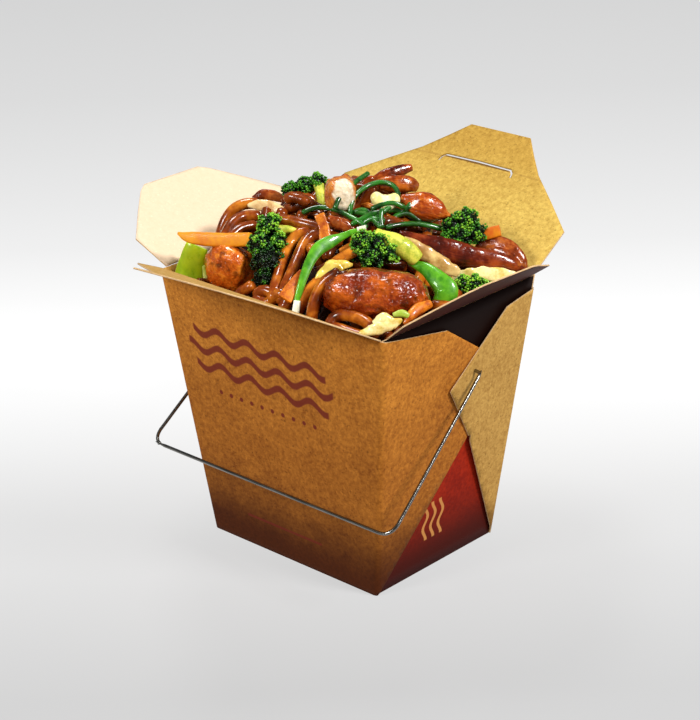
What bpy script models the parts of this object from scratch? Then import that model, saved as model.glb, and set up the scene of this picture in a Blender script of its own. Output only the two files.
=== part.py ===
"""Noodle takeaway box: a folded board pail with four open flaps, a wire bail and a heap of noodles.

Units are metres, +Z is up.  The origin is the middle of the carton's bottom face.
The long wide panel faces -Y and a gusseted end faces +X.
"""
import math

import bmesh
import bpy
import numpy as np
from mathutils import Matrix, Vector, noise
from mathutils.bvhtree import BVHTree

MM = 0.001
GAP = 0.3 * MM                 # air kept between two pieces

# Carton: a tapered pail folded from one sheet of board
HEIGHT = 105.0 * MM
TOP_LENGTH = 108.6 * MM        # along X, over the end panels at the rim
TOP_WIDTH = 82.5 * MM          # along Y, at the rim
BASE_LENGTH = 81.8 * MM
BASE_WIDTH = 64.8 * MM
BOARD = 0.6 * MM
GUSSET_LAYER = 1.2 * MM        # one gusset folded flat against the end panel
CORNER_RADIUS = 2.0 * MM
FOOT_RADIUS = 0.8 * MM
CUTTER_REACH = 12.0 * MM       # how far a cutter runs out past the board

# Gusset outlines on an end panel, as (across, up) from the panel's foot, front gusset first
FRONT_FOLD = ((-31.9, 0.0), (9.6, 50.0))
FRONT_TOP = ((-41.2, 104.8), (-7.8, 98.7), (10.8, 86.1))
BACK_EDGE = ((40.5, 100.2), (24.6, 97.6), (-4.1, 73.7), (9.9, 50.8), (32.2, 0.0))

# Wire bail, pivoting in one hole through each end
WIRE = 1.3 * MM
HOLE_CLEARANCE = 0.35 * MM
PIVOT_Y = 9.0 * MM
PIVOT_Z = 77.7 * MM
BAIL_REACH = 68.7 * MM         # pivot axis to crossbar
BAIL_ARM_X = 55.6 * MM         # where an arm leaves its pivot
BAIL_HALF_BAR = 60.4 * MM
BAIL_DROP = math.radians(38.1)  # arms below the horizontal at rest
BAIL_CORNER = 6.0 * MM
HOOK_RADIUS = 1.6 * MM

# Flaps: (depth out from the crease, half width) pairs, rest lean above the horizontal, twist
CREASE_LIFT = 0.35 * MM        # hinge axis above the rim
ROOT = 0.7                     # where a flap's board starts, out from its hinge axis, in mm
BACK_OUTLINE = ((ROOT, 54.0), (20.0, 54.2), (31.0, 41.0), (41.0, 28.5), (49.0, 21.0), (56.4, 14.5))
FRONT_OUTLINE = ((ROOT, 54.0), (12.0, 54.2), (27.0, 33.0), (42.0, 15.0), (49.5, 17.5), (54.0, 13.0))
LEFT_OUTLINE = ((ROOT, 38.4), (17.0, 38.8), (29.0, 27.5), (38.5, 18.0), (41.2, 14.0))
RIGHT_OUTLINE = ((ROOT, 38.4), (10.0, 38.8), (18.0, 27.0), (24.0, 18.0), (26.5, 12.5))
FLAP_COLUMNS = 6
BACK_LEAN = math.radians(33.6)
FRONT_LEAN = math.radians(27.0)
LEFT_LEAN = math.radians(24.4)
RIGHT_LEAN = math.radians(38.0)
FLAP_TWIST = math.tan(math.radians(2.5))
LOCK_SLIT = (17.0 * MM, 39.5 * MM, 0.7 * MM)   # half length, depth on the back flap, width
SLIT_BOW = 2.2 * MM            # how far the slit's middle lies beyond its ends
SLIT_STEPS = 8

# Heap of noodles
WALL_AIR = 1.0 * MM            # between the noodles and the board
FLOOR_AIR = 0.4 * MM
HEAP_EDGE = 103.0 * MM         # height of the heap along the walls
HEAP_RISE = 31.0 * MM          # from the edge to the top of the heap
HEAP_TOP_X = -6.0 * MM
HEAP_STEP = 3.0 * MM           # size of a facet on the heap
PRINT_STEP = 1.0 * MM          # fineness with which toppings are pressed into the heap
TOPPING_AIR = 0.5 * MM
MOUND_SLOPE = 1.1              # how steeply noodles pile up under a topping
NOODLE_RELIEF = 1.6 * MM
SHARPEST = 0.8 * MM            # how far one facet corner stands above those around it
DEEPEST_DIP = 8.0 * MM         # of the noodles below HEAP_EDGE, under a topping
BELOW_FOOD = 90.0 * MM         # a height under every topping

CAMERA_SIDE = (0.63, -0.67, 0.39)   # the side of the box from which the food is arranged
UP = (0.0, 0.0, 1.0)

# Toppings, in millimetres: name, kind, one end, other end, width, thickness, face direction
TOPPINGS = (
    ("chicken_front", "lump", (17, -31, 110.5), (46, -9, 110.5), 20, 20, UP),
    ("chicken_left", "lump", (-39, -30, 108.5), (-21, -29, 109), 13, 16, UP),
    ("chicken_top", "lump", (-7, 6, 123), (-8, 7, 138), 12, 11, CAMERA_SIDE),
    ("broccoli_left", "floret", (-24, -15, 122), (-11, -28, 111), 14, 13, UP),
    ("broccoli_middle", "floret", (12, -12, 121), (27, -2, 121), 14, 13, UP),
    ("broccoli_right", "floret", (25, 27, 120), (34, 35, 120), 12, 11, UP),
    ("broccoli_back", "floret", (-38, 11, 126.5), (-27, 17, 127), 12, 9, UP),
    ("broccoli_small", "floret", (43, 12, 107.5), (49.5, 18, 107.5), 8, 8, UP),
    ("carrot_left", "stick", (-52, -35.5, 116), (-20, -26, 119.5), 5.5, 5, UP),
    ("capsicum_left", "crescent", (-48, -34, 101), (-45, -31, 113), 10, 3.2, CAMERA_SIDE),
    ("capsicum_right", "crescent", (30, 5, 115), (50, -8, 106.5), 9, 3.5, CAMERA_SIDE),
    ("capsicum_strip", "band", (10, -9, 126), (11, -37.5, 107.5), 4.5, 2, CAMERA_SIDE),
    ("beef_strip", "lump", (19, 9, 122), (51, 37, 109.5), 8, 6.5, UP),
    ("meat_fold", "lump", (10, 20, 127), (24, 29, 125), 11, 9, UP),
    ("meat_finger_left", "lump", (-5, 22, 134), (-2, 37, 134.5), 7, 6, UP),
    ("meat_finger_right", "lump", (2.5, 18, 132.5), (6.5, 32, 132.5), 7, 6, UP),
    ("carrot_corner", "stick", (50, -26, 106.5), (49, -11, 110), 4.5, 4, UP),
    ("carrot_front", "stick", (3, -27, 113.5), (8, -37, 107), 5, 3, CAMERA_SIDE),
    ("carrot_middle", "stick", (-9, -2, 125.5), (-2, -11, 119.5), 5, 2.5, CAMERA_SIDE),
    ("carrot_back", "stick", (34, 34, 120), (41, 39, 119), 4.5, 3, UP),
    ("cabbage_corner", "leaf", (39, -36, 106.5), (50, -30, 107.5), 8, 5, UP),
    ("cabbage_right", "leaf", (38, 19, 107), (50, 34, 107), 7, 4, UP),
    ("cabbage_middle", "leaf", (29, 4, 117), (37, 18, 115), 8, 3, UP),
    ("cabbage_petal", "leaf", (10, -26, 115), (17, -15, 117), 7, 3, UP),
    ("mushroom_right", "slice", (35, 36, 114), (49, 37, 113), 9, 4, CAMERA_SIDE),
    ("mushroom_left", "slice", (-48, 3, 120), (-37, 13, 122), 8, 5, UP),
    ("mushroom_back", "slice", (-38, 6, 122.5), (-28, 12, 124.5), 7, 4, UP),
    ("mushroom_middle", "slice", (-3, -5, 124), (3, 2, 124), 7, 3, CAMERA_SIDE),
    ("onion_slice", "slice", (-49, -2, 117.5), (-31, 2, 120.5), 5, 3, UP),
    ("cashew", "nut", (5, 8, 131), (11, 15, 131), 6, 5, UP),
)

# Florets' stalks, in millimetres: floret, foot of the stalk, radius
STALKS = {
    "broccoli_left": ((-12.5, -11.5, 121), 2.4),
    "broccoli_middle": ((31, 3.5, 117.5), 3.2),
    "broccoli_right": ((27, 33, 113), 2.6),
    "broccoli_back": ((-20, 10, 124), 2.4),
    "broccoli_small": ((45, 16, 103), 1.8),
}

KRAFT = ("kraft_board", (0.52, 0.31, 0.12), 0.75, 0.0)
CREAM = ("cream_board", (0.86, 0.76, 0.58), 0.7, 0.0)
STEEL = ("bail_wire", (0.55, 0.55, 0.53), 0.3, 1.0)
NOODLE = ("glazed_noodle", (0.42, 0.16, 0.04), 0.3, 0.0)
FOOD_FINISH = {
    "chicken": ("glazed_chicken", (0.40, 0.10, 0.02), 0.25, 0.0),
    "beef": ("glazed_meat", (0.28, 0.07, 0.02), 0.25, 0.0),
    "meat": ("glazed_meat", (0.28, 0.07, 0.02), 0.25, 0.0),
    "broccoli": ("broccoli_green", (0.05, 0.20, 0.03), 0.6, 0.0),
    "carrot": ("carrot_orange", (0.85, 0.30, 0.02), 0.4, 0.0),
    "capsicum": ("capsicum_green", (0.12, 0.38, 0.03), 0.3, 0.0),
    "cabbage": ("cabbage_cream", (0.75, 0.65, 0.20), 0.45, 0.0),
    "mushroom": ("glazed_mushroom", (0.33, 0.12, 0.04), 0.3, 0.0),
    "onion": ("onion_beige", (0.70, 0.50, 0.25), 0.35, 0.0),
    "cashew": ("cashew_cream", (0.85, 0.75, 0.40), 0.45, 0.0),
}


def clear_scene():
    for item in list(bpy.data.objects):
        bpy.data.objects.remove(item, do_unlink=True)


def finish_of(spec):
    """Principled material from (name, colour, roughness, metallic), made once."""
    name, colour, roughness, metallic = spec
    if name in bpy.data.materials:
        return bpy.data.materials[name]
    made = bpy.data.materials.new(name)
    made.use_nodes = True
    shader = made.node_tree.nodes["Principled BSDF"]
    shader.inputs["Base Color"].default_value = (*colour, 1.0)
    shader.inputs["Roughness"].default_value = roughness
    shader.inputs["Metallic"].default_value = metallic
    made.diffuse_color = (*colour, 1.0)
    return made


def add_object(name, shape, finish=None):
    """Object of a bmesh, which is freed."""
    mesh = bpy.data.meshes.new(name)
    shape.to_mesh(mesh)
    shape.free()
    made = bpy.data.objects.new(name, mesh)
    bpy.context.scene.collection.objects.link(made)
    if finish is not None:
        mesh.materials.append(finish_of(finish))
    return made


def add_cutter(name, shape):
    cutter = add_object(name, shape)
    cutter.hide_render = True
    cutter.display_type = "WIRE"
    return cutter


def combine(target, tool, operation):
    """Run one exact Boolean on target and remove the tool."""
    step = target.modifiers.new(operation.title(), "BOOLEAN")
    step.operation = operation
    step.solver = "EXACT"
    step.object = tool
    bake(target)
    bpy.data.objects.remove(tool, do_unlink=True)


def bake(target):
    """Keep what the modifiers make of target as its mesh."""
    bpy.context.view_layer.update()
    graph = bpy.context.evaluated_depsgraph_get()
    result = bpy.data.meshes.new_from_object(target.evaluated_get(graph))
    target.modifiers.clear()
    target.data = result


def shade(target, angle=40.0):
    target.data.shade_smooth()
    target.data.set_sharp_from_angle(angle=math.radians(angle))


# ---------------------------------------------------------------- carton

def half_length(z):
    """Half length of the pail over its end panels at height z."""
    return (BASE_LENGTH + (TOP_LENGTH - BASE_LENGTH) * z / HEIGHT) / 2


def half_width(z):
    return (BASE_WIDTH + (TOP_WIDTH - BASE_WIDTH) * z / HEIGHT) / 2


def tapered_block(bottom, top, end_growth, side_growth):
    """Block between two heights that follows the pail's taper, grown at its ends and sides."""
    shape = bmesh.new()
    bmesh.ops.create_cube(shape, size=2.0)
    for vert in shape.verts:
        z = top if vert.co.z > 0 else bottom
        vert.co.x = math.copysign(half_length(z) + end_growth, vert.co.x)
        vert.co.y = math.copysign(half_width(z) + side_growth, vert.co.y)
        vert.co.z = z
    return shape


def rounded_outside():
    """The pail's outside, with its folded gussets filled in over the end panels."""
    shape = tapered_block(0.0, HEIGHT, 2 * GUSSET_LAYER, 0.0)
    corners = [e for e in shape.edges if abs(e.verts[0].co.z - e.verts[1].co.z) > HEIGHT / 2]
    bmesh.ops.bevel(shape, geom=corners, offset=CORNER_RADIUS, affect="EDGES",
                    segments=3, profile=0.5, material=-1)
    foot = [e for e in shape.edges if all(v.co.z < MM for v in e.verts)]
    bmesh.ops.bevel(shape, geom=foot, offset=FOOT_RADIUS, affect="EDGES",
                    segments=2, profile=0.5, material=-1)
    return shape


def end_window(outline, side, depth):
    """Prism that stands on an end panel, depth out from the board, over an outline in mm."""
    shape = bmesh.new()
    near = []
    for across, up in outline:
        x = side * (half_length(up * MM) + depth)
        near.append(shape.verts.new((x, across * MM, up * MM)))
    face = shape.faces.new(near)
    moved = bmesh.ops.extrude_face_region(shape, geom=[face])["geom"]
    verts = [item for item in moved if isinstance(item, bmesh.types.BMVert)]
    bmesh.ops.translate(shape, verts=verts, vec=(side * CUTTER_REACH, 0, 0))
    bmesh.ops.recalc_face_normals(shape, faces=shape.faces)
    return shape


def bare_of_back_gusset():
    """Outline of an end's outer layer that only the front gusset covers."""
    return ((50.0, 106.0), *BACK_EDGE, (32.6, -1.0), (-60.0, -1.0), (-60.0, 106.0))


def bare_at_top():
    """Outline of the end panel left bare above both gussets."""
    return ((-50.0, 106.0), *FRONT_TOP, BACK_EDGE[1], BACK_EDGE[0], (50.0, 106.0))


def bare_at_foot():
    """Outline of the triangle of end panel left bare between the folds of both gussets."""
    return ((-32.6, -1.0), FRONT_FOLD[0], FRONT_FOLD[1], BACK_EDGE[-1], (32.6, -1.0))


def pivot_hole():
    shape = bmesh.new()
    radius = WIRE / 2 + HOLE_CLEARANCE
    bmesh.ops.create_cone(shape, cap_ends=True, segments=16, radius1=radius, radius2=radius,
                          depth=TOP_LENGTH * 1.5)
    turn = Matrix.Rotation(math.pi / 2, 4, "Y")
    bmesh.ops.transform(shape, matrix=turn, verts=shape.verts)
    bmesh.ops.translate(shape, verts=shape.verts, vec=(0, PIVOT_Y, PIVOT_Z))
    return shape


def carton():
    tub = add_object("carton", rounded_outside(), KRAFT)
    hollow = tapered_block(BOARD, HEIGHT + 5 * MM, -BOARD, -BOARD)
    combine(tub, add_cutter("hollow", hollow), "DIFFERENCE")
    for side in (-1, 1):
        windows = ((bare_of_back_gusset(), GUSSET_LAYER), (bare_at_top(), 0.0), (bare_at_foot(), 0.0))
        for outline, depth in windows:
            combine(tub, add_cutter("window", end_window(outline, side, depth)), "DIFFERENCE")
    combine(tub, add_cutter("hole", pivot_hole()), "DIFFERENCE")
    shade(tub)
    return tub


# ---------------------------------------------------------------- bail

def hinge_empty(name, place, turn):
    """Empty on a joint's axis; its piece is its child."""
    hinge = bpy.data.objects.new(name, None)
    hinge.location = place
    hinge.rotation_euler = turn
    bpy.context.scene.collection.objects.link(hinge)
    return hinge


def arc(centre, start, end, steps):
    """Points that turn about centre from start towards end."""
    first = start - centre
    axis = first.cross(end - centre).normalized()
    angle = first.angle(end - centre)
    return [centre + Matrix.Rotation(angle * i / steps, 3, axis) @ first for i in range(steps + 1)]


def rounded_corner(before, corner, after, radius, steps):
    """Points of a round turn at corner between two straight runs."""
    back = (before - corner).normalized()
    on = (after - corner).normalized()
    half = back.angle(on) / 2
    reach = radius / math.tan(half)
    centre = corner + (back + on).normalized() * (radius / math.sin(half))
    return arc(centre, corner + back * reach, corner + on * reach, steps)


def bail():
    """One wire: hook through each end, splayed arms, straight crossbar; its arms lie along -Y."""
    hook_tip = half_length(PIVOT_Z) - BOARD
    tip = Vector((hook_tip, 0, 0))
    elbow = Vector((BAIL_ARM_X, 0, 0))
    corner = Vector((BAIL_HALF_BAR, -BAIL_REACH, 0))
    middle = Vector((0, -BAIL_REACH, 0))
    half = [tip]
    half += rounded_corner(tip, elbow, corner, HOOK_RADIUS, 4)
    half += [elbow.lerp(corner, 0.35), elbow.lerp(corner, 0.65)]
    half += rounded_corner(elbow, corner, middle, BAIL_CORNER, 6)
    points = half + [Vector((-p.x, p.y, p.z)) for p in reversed(half)]
    curve = bpy.data.curves.new("bail", "CURVE")
    curve.dimensions = "3D"
    curve.bevel_depth = WIRE / 2
    curve.bevel_resolution = 2
    curve.use_fill_caps = True
    run = curve.splines.new("POLY")
    run.points.add(len(points) - 1)
    for point, place in zip(run.points, points):
        point.co = (*place, 1.0)
    curve.materials.append(finish_of(STEEL))
    wire = bpy.data.objects.new("bail", curve)
    bpy.context.scene.collection.objects.link(wire)
    wire.parent = hinge_empty("bail_pivot", (0, PIVOT_Y, PIVOT_Z), (BAIL_DROP, 0, 0))
    return wire


# ---------------------------------------------------------------- flaps

def flap_sheet(outline, twist):
    """Flap in its hinge's frame: crease along X, board running out along -Y, top face up."""
    shape = bmesh.new()
    rows = []
    widest = outline[0][1]
    for depth, half_width_here in outline:
        row = []
        for column in range(FLAP_COLUMNS + 1):
            across = (2 * column / FLAP_COLUMNS - 1) * half_width_here
            lift = twist * (depth - outline[0][0]) * across / widest
            row.append(shape.verts.new((across * MM, -depth * MM, lift * MM)))
        rows.append(row)
    for near, far in zip(rows, rows[1:]):
        for i in range(FLAP_COLUMNS):
            shape.faces.new((near[i], near[i + 1], far[i + 1], far[i]))
    return shape


def flap(name, outline, place, heading, lean, twist, finish=KRAFT):
    """Board flap on its crease; heading turns its -Y run to the side that it opens to."""
    sheet = add_object(name, flap_sheet(outline, twist), finish)
    board = sheet.modifiers.new("Board", "SOLIDIFY")
    board.thickness = BOARD
    board.offset = 0.0
    board.use_even_offset = True
    bake(sheet)
    crease = hinge_empty(name + "_crease", place, (0, 0, 0))
    crease.rotation_mode = "XYZ"
    crease.rotation_euler = (-lean, 0, heading)
    sheet.parent = crease
    return sheet


def slit_cutter():
    """Thin bowed bar that cuts the lock slit across the back flap."""
    half, depth, width = LOCK_SLIT
    shape = bmesh.new()
    loops = []
    for i in range(SLIT_STEPS + 1):
        t = 2 * i / SLIT_STEPS - 1
        y = -depth - SLIT_BOW * (1 - t ** 4)
        corners = ((-1, -1), (1, -1), (1, 1), (-1, 1))
        loops.append([shape.verts.new((t * half, y + a * width / 2, b * CUTTER_REACH)) for a, b in corners])
    for near, far in zip(loops, loops[1:]):
        for k in range(4):
            shape.faces.new((near[k], near[(k + 1) % 4], far[(k + 1) % 4], far[k]))
    shape.faces.new(loops[0][::-1])
    shape.faces.new(loops[-1])
    bmesh.ops.recalc_face_normals(shape, faces=shape.faces)
    return shape


def flaps():
    axis_z = HEIGHT + CREASE_LIFT
    front = (0, -half_width(HEIGHT), axis_z)
    back = (0, half_width(HEIGHT), axis_z)
    left = (-half_length(HEIGHT), 0, axis_z)
    right = (half_length(HEIGHT), 0, axis_z)
    flap("flap_front", FRONT_OUTLINE, front, 0.0, FRONT_LEAN, FLAP_TWIST)
    flap("flap_left", LEFT_OUTLINE, left, -math.pi / 2, LEFT_LEAN, 0.0, CREAM)
    flap("flap_right", RIGHT_OUTLINE, right, math.pi / 2, RIGHT_LEAN, -FLAP_TWIST)
    rear = flap("flap_back", BACK_OUTLINE, back, math.pi, BACK_LEAN, 0.0)
    crease = rear.parent
    rear.parent = None
    combine(rear, add_cutter("slit", slit_cutter()), "DIFFERENCE")
    rear.parent = crease


# ---------------------------------------------------------------- toppings

def placed(shape, start, end, face):
    """Move a shape, long along X and thick along Z, to lie between two points in mm."""
    start = Vector(start) * MM
    end = Vector(end) * MM
    along = (end - start).normalized()
    thick = Vector(face)
    thick = (thick - along * thick.dot(along)).normalized()
    across = thick.cross(along)
    turn = Matrix((along, across, thick)).transposed().to_4x4()
    turn.translation = (start + end) / 2
    bmesh.ops.transform(shape, matrix=turn, verts=shape.verts)
    return shape


def lump(length, width, thickness, seed):
    """Uneven piece of meat: a squared-off ball with low swellings."""
    shape = bmesh.new()
    fine = 3 if length > 15 * MM else 2
    bmesh.ops.create_icosphere(shape, subdivisions=fine, radius=1.0)
    for vert in shape.verts:
        swell = 1 + 0.13 * noise.noise(vert.co * 1.7 + Vector((seed, 2 * seed, 0)))
        grown = Vector([math.copysign(abs(c) ** 0.86, c) for c in vert.co]) * swell
        vert.co = (grown.x * length / 2, grown.y * width / 2, grown.z * thickness / 2)
    return shape


def knobs(count, spread):
    """Directions evenly spread over a ball, denser with more of them."""
    turn = math.pi * (3 - math.sqrt(5))
    found = []
    for i in range(count):
        z = 1 - spread * (i + 0.5) / count
        ring = math.sqrt(max(0.0, 1 - z * z))
        found.append(Vector((ring * math.cos(turn * i), ring * math.sin(turn * i), z)))
    return found


def floret(length, width, thickness, seed):
    """Broccoli crown: a ball of rounded knobs."""
    shape = bmesh.new()
    bmesh.ops.create_icosphere(shape, subdivisions=3, radius=1.0)
    centres = knobs(16, 2.0)
    for vert in shape.verts:
        nearest = max(vert.co.normalized().dot(c) for c in centres)
        bulge = 0.80 + 0.20 * math.sqrt(max(0.0, min(1.0, (nearest - 0.80) / 0.20)))
        vert.co = Vector((vert.co.x * length, vert.co.y * width, vert.co.z * thickness)) * bulge / 2
    return shape


def stick(length, width, thickness, seed):
    """Cut carrot baton with a slanted point at its near end."""
    shape = bmesh.new()
    bmesh.ops.create_cube(shape, size=1.0)
    bmesh.ops.scale(shape, vec=(length, width, thickness), verts=shape.verts)
    for vert in shape.verts:
        if vert.co.x < 0 and vert.co.y < 0:
            vert.co.x += 0.22 * length
        if vert.co.x > 0:
            vert.co.y *= 0.85
    bmesh.ops.bevel(shape, geom=shape.edges[:], offset=0.12 * thickness, affect="EDGES",
                    segments=1, profile=0.5, material=-1)
    return shape


def strip_of(length, width, thickness, bend, lift, columns=8):
    """Flat strip with narrowed round ends: bend gives its sideways run, lift its height."""
    shape = bmesh.new()
    loops = []
    for i in range(columns + 1):
        t = 2 * i / columns - 1
        fullness = math.sqrt(max(0.05, 1 - abs(t) ** 3.2))
        y0 = bend(t)
        z0 = lift(t)
        half = width / 2 * fullness
        rise = thickness / 2 * (0.55 + 0.45 * fullness)
        ring = []
        for k in range(8):
            angle = math.pi * (k + 0.5) / 4
            y = y0 + half * math.copysign(abs(math.cos(angle)) ** 0.7, math.cos(angle))
            z = z0 + rise * math.sin(angle)
            ring.append(shape.verts.new((t * length / 2, y, z)))
        loops.append(ring)
    for near, far in zip(loops, loops[1:]):
        bmesh.ops.bridge_loops(shape, edges=ring_edges(shape, near) + ring_edges(shape, far))
    shape.faces.new(loops[0])
    shape.faces.new(loops[-1])
    bmesh.ops.recalc_face_normals(shape, faces=shape.faces)
    return shape


def ring_edges(shape, ring):
    """Edges that close a ring of vertices, made where they are missing."""
    edges = []
    for one, other in zip(ring, ring[1:] + ring[:1]):
        edges.append(shape.edges.get((one, other)) or shape.edges.new((one, other)))
    return edges


def crescent(length, width, thickness, seed):
    """Capsicum wedge, bowed in its own plane."""
    bow = 0.16 * length
    return strip_of(length, width, thickness, lambda t: bow * (0.5 - t * t), lambda t: 0.0)


def band(length, width, thickness, seed):
    """Narrow strip of green capsicum that arches over the noodles."""
    arch = 0.17 * length
    return strip_of(length, width, thickness, lambda t: 0.0, lambda t: arch * (0.5 - t * t))


def leaf(length, width, thickness, seed):
    """Crumpled piece of cabbage."""
    wave = 0.18 * width
    return strip_of(length, width, thickness, lambda t: wave * math.sin(3 * t + seed),
                    lambda t: 0.25 * thickness * math.sin(5 * t + 2 * seed))


def slice_of(length, width, thickness, seed):
    """Lens-shaped slice with a slight curl."""
    return strip_of(length, width, thickness, lambda t: 0.0, lambda t: 0.2 * thickness * (0.5 - t * t))


def nut(length, width, thickness, seed):
    """Kidney-shaped cashew."""
    return strip_of(length, width, thickness, lambda t: 0.22 * length * (0.5 - t * t), lambda t: 0.0)


MAKERS = {"lump": lump, "floret": floret, "stick": stick, "crescent": crescent, "band": band,
          "leaf": leaf, "slice": slice_of, "nut": nut}


def stalk(name, crown_centre):
    """Stalk from inside a crown to its foot."""
    foot, radius = STALKS[name]
    foot = Vector(foot) * MM
    length = (foot - crown_centre).length
    shape = bmesh.new()
    bmesh.ops.create_cone(shape, cap_ends=True, segments=8, radius1=0.85 * radius * MM,
                          radius2=1.15 * radius * MM, depth=length)
    turn = (crown_centre - foot).to_track_quat("Z", "Y").to_matrix().to_4x4()
    turn.translation = (foot + crown_centre) / 2
    bmesh.ops.transform(shape, matrix=turn, verts=shape.verts)
    return shape


def topping(seed, row):
    name, kind, start, end, width, thickness, face = row
    length = (Vector(end) - Vector(start)).length * MM
    shape = MAKERS[kind](length, width * MM, thickness * MM, seed)
    finish = FOOD_FINISH[name.split("_")[0]]
    made = add_object(name, placed(shape, start, end, face), finish)
    if name in STALKS:
        centre = (Vector(start) + Vector(end)) / 2 * MM
        combine(made, add_cutter(name + "_stalk", stalk(name, centre)), "UNION")
    shade(made, 60.0)
    return made


def tree_of(item):
    shape = bmesh.new()
    shape.from_mesh(item.data)
    tree = BVHTree.FromBMesh(shape)
    shape.free()
    return tree


def swollen(item, growth):
    """Cutter a little larger all round than a piece."""
    shape = bmesh.new()
    shape.from_mesh(item.data)
    shape.normal_update()
    places = [vert.co + vert.normal * growth for vert in shape.verts]
    for vert, place in zip(shape.verts, places):
        vert.co = place
    return add_cutter(item.name + "_swollen", shape)


def all_toppings():
    """Every topping, each pressed in by the earlier ones that it would run into."""
    made = []
    for seed, row in enumerate(TOPPINGS):
        piece = topping(seed, row)
        for earlier in made:
            swell = swollen(earlier, 1.3 * GAP)
            if tree_of(piece).overlap(tree_of(swell)):
                combine(piece, swell, "DIFFERENCE")
            else:
                bpy.data.objects.remove(swell, do_unlink=True)
        made.append(piece)
    return made


# ---------------------------------------------------------------- noodles

def heap_height(x, y):
    """Height of the bare heap: steep at the back and left, sloping to the front and right."""
    left = min(1.0, max(0.0, (HEAP_TOP_X - x) / (50 * MM)))
    right = min(1.0, max(0.0, (x - HEAP_TOP_X) / (60 * MM)))
    back = min(1.0, max(0.0, y / (42 * MM)))
    front = min(1.0, max(0.0, -y / (41 * MM)))
    along = (1 - left ** 4) * (1 - right ** 1.2)
    across = (1 - back ** 5) * (1 - front ** 1.25)
    strands = noise.noise(Vector((x * 260, y * 190, 0.3))) + 0.6 * noise.noise(Vector((x * 90, y * 420, 7.7)))
    return HEAP_EDGE + HEAP_RISE * along * across + NOODLE_RELIEF * strands * min(1.0, 4 * along * across)


def undersides(toppings, xs, ys):
    """Lowest point of the toppings over each place of a fine grid, or infinity."""
    lowest = np.full((len(xs), len(ys)), np.inf)
    for item in toppings:
        tree = tree_of(item)
        for i, x in enumerate(xs):
            for j, y in enumerate(ys):
                hit = tree.ray_cast(Vector((x, y, BELOW_FOOD)), Vector(UP))[0]
                if hit is not None:
                    lowest[i, j] = min(lowest[i, j], hit.z)
    return lowest


def mounded(bare, ceiling):
    """Heights of the noodles: up to the toppings' undersides, falling away around them."""
    covered = np.isfinite(ceiling)
    field = np.where(covered, ceiling, bare)
    step = MOUND_SLOPE * PRINT_STEP
    for _ in range(14):
        padded = np.pad(field, 1, mode="edge")
        around = np.maximum.reduce([padded[2:, 1:-1], padded[:-2, 1:-1], padded[1:-1, 2:], padded[1:-1, :-2]])
        field = np.where(covered, field, np.maximum(field, around - step))
    return field


def heap_field(toppings):
    """Sampler of the heap's height that stays under every topping within a facet's reach."""
    reach_x = half_length(HEIGHT)
    reach_y = half_width(HEIGHT)
    xs = np.arange(-reach_x, reach_x + PRINT_STEP, PRINT_STEP)
    ys = np.arange(-reach_y, reach_y + PRINT_STEP, PRINT_STEP)
    ceiling = undersides(toppings, xs, ys) - TOPPING_AIR
    bare = np.array([[heap_height(x, y) for y in ys] for x in xs])
    field = mounded(bare, ceiling)
    window = int(math.ceil(HEAP_STEP / PRINT_STEP))

    def sample(x, y):
        i = int(round((x + reach_x) / PRINT_STEP))
        j = int(round((y + reach_y) / PRINT_STEP))
        rows = slice(max(0, i - window), i + window + 1)
        columns = slice(max(0, j - window), j + window + 1)
        i = min(max(i, 0), len(xs) - 1)
        j = min(max(j, 0), len(ys) - 1)
        return min(field[i, j], float(ceiling[rows, columns].min()))

    return sample


def settle(shape):
    """Lower each facet corner that stands out sharply above those around it."""
    for _ in range(4):
        lowered = {}
        for vert in shape.verts:
            around = [edge.other_vert(vert).co.z for edge in vert.link_edges]
            mean = sum(around) / len(around)
            lowered[vert] = min(vert.co.z, mean + SHARPEST)
        for vert, z in lowered.items():
            if not vert.is_boundary:
                vert.co.z = z


def noodle_heap(toppings):
    """All the noodles as one solid that fills the pail and mounds above its rim."""
    sample = heap_field(toppings)
    columns = int(TOP_LENGTH / HEAP_STEP)
    rows = int(TOP_WIDTH / HEAP_STEP)
    edge_x = half_length(HEAP_EDGE) - BOARD - WALL_AIR
    edge_y = half_width(HEAP_EDGE) - BOARD - WALL_AIR
    shape = bmesh.new()
    bmesh.ops.create_grid(shape, x_segments=columns, y_segments=rows, size=1.0)
    for vert in shape.verts:
        inner = max(abs(vert.co.x), abs(vert.co.y)) < 0.999
        vert.co.x *= edge_x
        vert.co.y *= edge_y
        vert.co.z = HEAP_EDGE if not inner else max(HEAP_EDGE - DEEPEST_DIP, sample(vert.co.x, vert.co.y))
    settle(shape)
    rim = [edge for edge in shape.edges if edge.is_boundary]
    floor = BOARD + FLOOR_AIR
    wall = bmesh.ops.extrude_edge_only(shape, edges=rim)["geom"]
    low = [item for item in wall if isinstance(item, bmesh.types.BMVert)]
    shrink_x = (half_length(floor) - BOARD - WALL_AIR) / edge_x
    shrink_y = (half_width(floor) - BOARD - WALL_AIR) / edge_y
    for vert in low:
        vert.co = (vert.co.x * shrink_x, vert.co.y * shrink_y, floor)
    bmesh.ops.holes_fill(shape, edges=[edge for edge in shape.edges if edge.is_boundary], sides=0)
    bmesh.ops.recalc_face_normals(shape, faces=shape.faces)
    heap = add_object("noodle_heap", shape, NOODLE)
    shade(heap, 60.0)
    return heap


def main():
    clear_scene()
    carton()
    bail()
    flaps()
    noodle_heap(all_toppings())


main()
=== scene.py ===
"""Looks of the noodle takeaway box: board sheets, printed ends, wire bail, noodles and stir-fry pieces.

Metres, +Z up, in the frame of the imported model.  Lists of places are in millimetres.
"""

import math

import bmesh
import bpy
import numpy as np
from mathutils import Matrix, Vector, noise
from mathutils.bvhtree import BVHTree


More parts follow.
